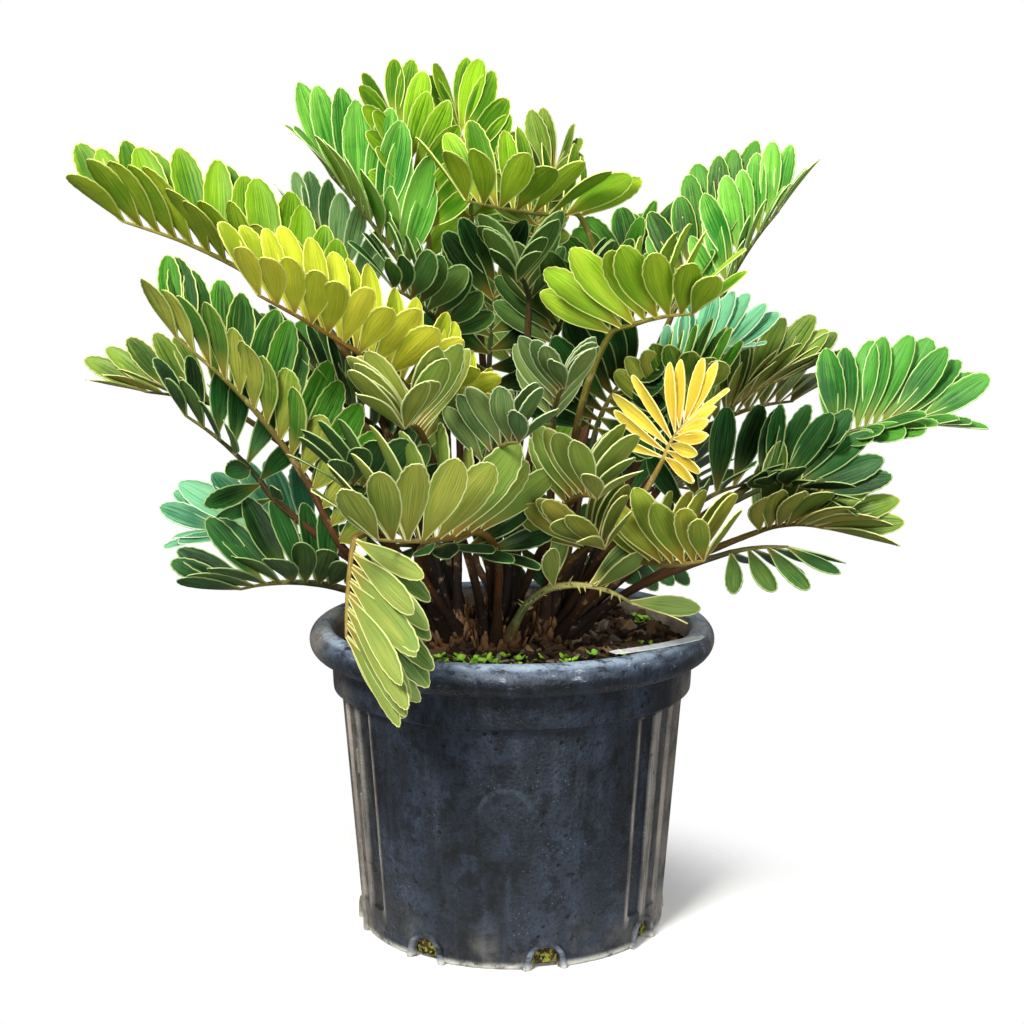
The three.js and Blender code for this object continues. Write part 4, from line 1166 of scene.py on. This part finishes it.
def stalkPiece(name, nodes, first, last, dice, sheathed):
    # first and last are the shares of the whole limb, foot to tip, that the nodes cover
    s = stalkSizes
    curve, at = smoothLine(nodes, s["spacing"])
    share = first + (last - first) * at / at[-1]
    radii = np.interp(share, s["shares"], s["radii"])
    if sheathed:
        radii = radii + (s["sheathRadius"] - s["radii"][0]) * np.clip(1 - at / s["sheath"], 0, 1) ** 1.5
    points, faces = tube(curve, radii, s["sides"], dice)
    around = np.tile(np.arange(s["sides"]) / s["sides"], len(curve))
    ages = np.concatenate([np.repeat(share, s["sides"]), [share[0], share[-1]]])
    risen = np.concatenate([np.repeat(at, s["sides"]), [0, at[-1]]]) / 100
    uv = np.stack([np.concatenate([around, [0, 0]]), risen], axis=-1)
    tones = np.zeros((len(points), 4))
    tones[:, 0] = ages
    tones[:, 1] = dice.random()
    tones[:, 3] = 1
    piece = meshPiece(name, np.array(points) / 1000, faces, {"stemTone": tones}, uv)
    smooth(piece, 60)
    return piece


# stubs left where leaflets have dropped, on the broken frond's rib
spineSizes = {"frond": "broken", "count": 36, "first": 0.26, "last": 0.93, "long": (5, 10),
              "thick": 1.4, "sides": 5}


def spineRow(nodes):
    s = spineSizes
    dice = random.Random(812)
    curve, at = smoothLine(nodes, 2.0)
    along = np.gradient(curve, axis=0)
    radii = np.interp(at / at[-1], stalkSizes["shares"], stalkSizes["radii"])
    points, faces, tones = [], [], []
    for number in range(s["count"]):
        share = (number + dice.uniform(-0.3, 0.3)) / (s["count"] - 1)
        share = s["first"] + (s["last"] - s["first"]) * share
        k = int(np.clip(share, 0, 1) * (len(curve) - 1))
        way = unit(along[k])
        flat = unit(np.cross(way, [0, 0, 1])) * (1 if number % 2 else -1)
        out = unit(flat + np.cross(flat, way) * dice.uniform(-0.9, 0.9) + way * dice.uniform(0.1, 0.7))
        side = unit(np.cross(out, way))
        other = np.cross(out, side)
        foot = curve[k] + out * radii[k] * 0.5
        first = len(points)
        for turn in np.arange(s["sides"]) * math.tau / s["sides"]:
            points.append(foot + (side * math.cos(turn) + other * math.sin(turn)) * s["thick"])
        points += [foot - out * 0.3, foot + out * (radii[k] * 0.5 + dice.uniform(*s["long"]))]
        for turn in range(s["sides"]):
            here, there = first + turn, first + (turn + 1) % s["sides"]
            faces += [(here, there, first + s["sides"] + 1), (there, here, first + s["sides"])]
        tones += [(0.72, 0.5, 0, 1)] * (s["sides"] + 1) + [(1, 0.5, 0, 1)]
    piece = meshPiece("spines_" + s["frond"], np.array(points) / 1000, faces, {"stemTone": np.array(tones)},
                      np.zeros((len(points), 2)))
    smooth(piece, 60)
    return piece


def stalkMaterial(name, neck, early=0.0):
    # early is how far down the pale part comes
    r = Recipe(name)
    age, tone, _ = r.split(r.attribute("stemTone", 0), "ShaderNodeSeparateColor")
    flat = r.node("ShaderNodeUVMap", {"uv_map": "growthMap"})
    grown = r.node("ShaderNodeMapping", None, {"Vector": flat, "Scale": (34, 3.2, 1)})
    fibre = r.noise(grown, 1.0, 4, 0.65)
    blotch = r.noise(r.objectPlace(), 70, 4, 0.6)
    ripe = age + early + (blotch - 0.5) * 0.2 + (tone - 0.5) * 0.24
    body = r.coat(
        r.mix(ripe.step(0.05, 0.4), "1a100a", "5c3a20"),
        (ripe.step(0.4, 0.75), neck),
        (ripe.step(0.8, 1.0) * 0.5, "cdbb62"),
        (fibre.step(0.45, 0.62) * 0.6, "24170e"),
        (blotch.step(0.58, 0.7) * 0.4, "c9ae84"),
    )
    r.bump(fibre + blotch * 0.6, 0.0012)
    return r.finish(colour=body, roughness=fibre * 0.25 + 0.5, shine=0.25)


stalkTints = {
    "lime": "8a8430", "gold": "8f6e28", "sage": "86672c", "pale": "98803c", "green": "6f6a26",
    # the dark stalks are darkened with painted shade, like their leaves
    "olive": "66561f", "teal": "5f7040", "dark": "3c4420", "fresh": "6a7830", "grey": "5f5e32",
    "young": "a8883a",
}


# Grow the crown

lines = [Line(frond) for frond in fronds]
spreadStalks(lines)
print("stalks spread")
leafFinish = {tint: leafMaterial(tint) for tint in leafTints}
stalkFinish = {tint: stalkMaterial("stalk_" + tint, neck) for tint, neck in stalkTints.items()}
stalkFinish["broken"] = stalkMaterial("stalk_broken", "8c9a62", 0.4)

for order, (frond, line) in enumerate(zip(fronds, lines)):
    name, tint = frond["name"], frond["tint"]
    node = "frond_" + name
    dice = random.Random(300 + order)
    dress(frondLeaves(frond, line, order), leafFinish.get(name, leafFinish[tint]), "leaf_" + tint, node)
    stalkLong = np.linalg.norm(np.diff(line.stalk, axis=0), axis=1).sum()
    bladeLong = np.linalg.norm(np.diff(line.blade, axis=0), axis=1).sum()
    bend = stalkLong / (stalkLong + bladeLong)
    if name in splitFronds:
        stalk = stalkPiece("stalk_" + name, line.stalk, 0, bend, dice, True)
        dress(stalk, stalkFinish[tint], "stalk", "stalk_" + name)
        blade = stalkPiece("rib_" + name, line.blade, bend, 1, dice, False)
        dress(blade, stalkFinish[tint], "stalk", node)
    else:
        whole = np.vstack([line.stalk, line.blade[1:]])
        finish = stalkFinish.get(name, stalkFinish[tint])
        dress(stalkPiece("stem_" + name, whole, 0, 1, dice, True), finish, "stalk", node)
    if name == spineSizes["frond"]:
        dress(spineRow(whole), finish, "stalk", node)
print("fronds done")


# Caudex

caudexSizes = {"x": -0.006, "y": 0.014, "z": 0.262, "radius": 0.101, "tall": 0.026, "voxel": 0.0028,
               "scales": 70, "scaleLong": (10, 19), "scaleWide": (5, 9), "scaleThick": 0.0009}


def caudexBody():
    # swollen stem and its heads, fused and roughened
    c = caudexSizes
    clearSelection()
    bpy.ops.mesh.primitive_uv_sphere_add(segments=64, ring_count=32, radius=1,
                                         location=(c["x"], c["y"], c["z"]))
    lumps = [bpy.context.object]
    lumps[0].scale = (c["radius"], c["radius"], c["tall"])
    for x, y, radius, top in heads.values():
        bpy.ops.object.select_all(action="DESELECT")
        bpy.ops.mesh.primitive_uv_sphere_add(segments=32, ring_count=20, radius=radius / 1000,
                                             location=(x / 1000, y / 1000, (top - radius) / 1000 - 0.003))
        lumps.append(bpy.context.object)
        lumps[-1].scale = (0.96, 0.96, 1.1)
    piece = joinAll(lumps, "caudexBody")
    applyPlace(piece)
    remesh = piece.modifiers.new("fuse", "REMESH")
    remesh.mode = "VOXEL"
    remesh.voxel_size = c["voxel"]
    applyModifiers(piece)
    for vertex in piece.data.vertices:
        rough = noise.noise(vertex.co * 90) * 0.0022 + noise.noise(vertex.co * 240) * 0.001
        vertex.co += vertex.normal * rough
    smooth(piece, 60)
    return piece


def caudexScales(seed):
    # dry pointed scales in a spiral over each head
    c = caudexSizes
    dice = random.Random(seed)
    points, faces, tones = [], [], []
    for x, y, radius, top in heads.values():
        centre = Vector((x, y, top - radius - 3))
        for i in range(c["scales"]):
            turn = i * 2.39996 + dice.uniform(-0.15, 0.15)
            rise = math.radians(4 + 74 * (i / c["scales"]) ** 0.9)
            level = math.cos(rise)
            out = Vector((math.cos(turn) * level, math.sin(turn) * level, math.sin(rise)))
            up = (Vector((0, 0, 1)) - out * out.z).normalized()
            base = centre + out * (radius - 1.5)
            aim = (up * 0.9 + out * dice.uniform(0.25, 0.6)).normalized()
            side = aim.cross(out).normalized()
            long, wide = dice.uniform(*c["scaleLong"]), dice.uniform(*c["scaleWide"])
            first = len(points)
            for along, half in ((0, 0.9), (0.45, 1.0), (0.8, 0.55), (1, 0.12)):
                for hand in (-1, 0, 1):
                    belly = 1.6 * (1 - abs(hand)) + 1.5 * along
                    flat = base + aim * long * along + side * wide / 2 * half * hand
                    points.append((flat + out * belly) / 1000)
                    tones.append((dice.random() * 0.2 + along * 0.6, dice.random(), 0, 1))
            faces += stripFaces(first, (0, 3, 4, 1))
    piece = meshPiece("caudexScales", points, faces, {"stemTone": tones})
    thicken(piece, c["scaleThick"])
    smooth(piece, 60)
    return piece


def caudexMaterial(name, scaled):
    r = Recipe(name)
    place = r.objectPlace()
    fibre = r.noise(r.objectPlace((1, 1, 0.2)), 320, 4, 0.65)
    lumps = r.noise(place, 60, 4)
    if scaled:
        share, tone, _ = r.split(r.attribute("stemTone", 0), "ShaderNodeSeparateColor")
        colour = r.mix(share + (tone - 0.5) * 0.7, "20130a", "8e6a48")
    else:
        colour = r.mix(lumps.step(0.36, 0.64), "22150c", "6e4c32")
    colour = r.coat(
        colour,
        (fibre.step(0.48, 0.75) * 0.6, "1c110a"),
        (r.noise(place, 25).step(0.55, 0.75) * 0.3, "9a6a42"),
    )
    r.bump(fibre + lumps, 0.002)
    return r.finish(colour=colour, roughness=fibre * 0.15 + 0.78, shine=0.12)


dress(caudexBody(), caudexMaterial("caudexBark", False), "caudex", "caudex")
dress(caudexScales(12), caudexMaterial("caudexScale", True), "caudex", "caudex")
print("caudex done")


# Floor, light and camera

studio = {"floor": 6.0, "fadeStart": 0.17, "fadeEnd": 0.36, "worldStrength": 0.27, "distance": 1.9,
          "height": 0.741, "pitch": 9.7, "focal": 1943, "frame": 1024}
# name, place, aim, size, watts, colour, shape
lamps = [
    ("keyLight", (-0.9, -1.9, 2.1), (0, 0, 0.45), 0.7, 102, (1, 0.98, 0.92), "DISK"),
    ("softBox", (0, 0.3, 3.0), (0, 0.3, 0), 6.0, 80, (1, 1, 1), "SQUARE"),
    ("frontFill", (0.6, -2.8, 0.8), (0, 0, 0.4), 0.8, 38, (0.97, 0.99, 1), "DISK"),
]


def makeFloor():
    clearSelection()
    bpy.ops.mesh.primitive_plane_add(size=studio["floor"], location=(0, 0, 0))
    floor = bpy.context.object
    floor.name = "studioFloor"
    # fades into the pale background away from the pot
    r = Recipe("paleFloor")
    place = r.objectPlace()
    x, y, _ = r.split(place)
    grain = r.noise(place, 3, 2)
    colour = r.mix(grain, (0.93, 0.93, 0.93, 1), (0.96, 0.96, 0.96, 1))
    near = x.math("SQRT", x * x + y * y).step(studio["fadeEnd"], studio["fadeStart"])
    pale = r.finish(colour=colour, roughness=grain * 0.1 + 0.75, shine=0.1, cover=near)
    floor.data.materials.append(pale)


def addLight(name, place, aim, size, power, colour, shape):
    light = bpy.data.lights.new(name, "AREA")
    light.shape = shape
    light.size = size
    light.energy = power
    light.color = colour
    lamp = bpy.data.objects.new(name, light)
    bpy.context.scene.collection.objects.link(lamp)
    lamp.location = place
    lamp.rotation_euler = (Vector(aim) - Vector(place)).to_track_quat("-Z", "Y").to_euler()


def makeStudio():
    scene = bpy.context.scene
    world = bpy.data.worlds.new("paleStudio")
    world.use_nodes = True
    tree = world.node_tree
    sky = tree.nodes["Background"]
    sky.inputs["Color"].default_value = (1, 1, 1, 1)
    seen = tree.nodes.new("ShaderNodeLightPath")
    dim = tree.nodes.new("ShaderNodeMapRange")
    tree.links.new(seen.outputs["Is Camera Ray"], dim.inputs[0])
    dim.inputs[3].default_value = studio["worldStrength"]
    tree.links.new(dim.outputs[0], sky.inputs["Strength"])
    scene.world = world
    scene.view_settings.view_transform = "Standard"
    scene.view_settings.look = "None"
    for lamp in lamps:
        addLight(*lamp)
    camera = bpy.data.cameras.new("photoView")
    camera.angle = 2 * math.atan(studio["frame"] / 2 / studio["focal"])
    viewer = bpy.data.objects.new("photoView", camera)
    scene.collection.objects.link(viewer)
    viewer.location = (0, -studio["distance"], studio["height"])
    viewer.rotation_euler = (math.radians(90 - studio["pitch"]), 0, 0)
    scene.camera = viewer


makeFloor()
makeStudio()
clearSelection()
print("all placed")
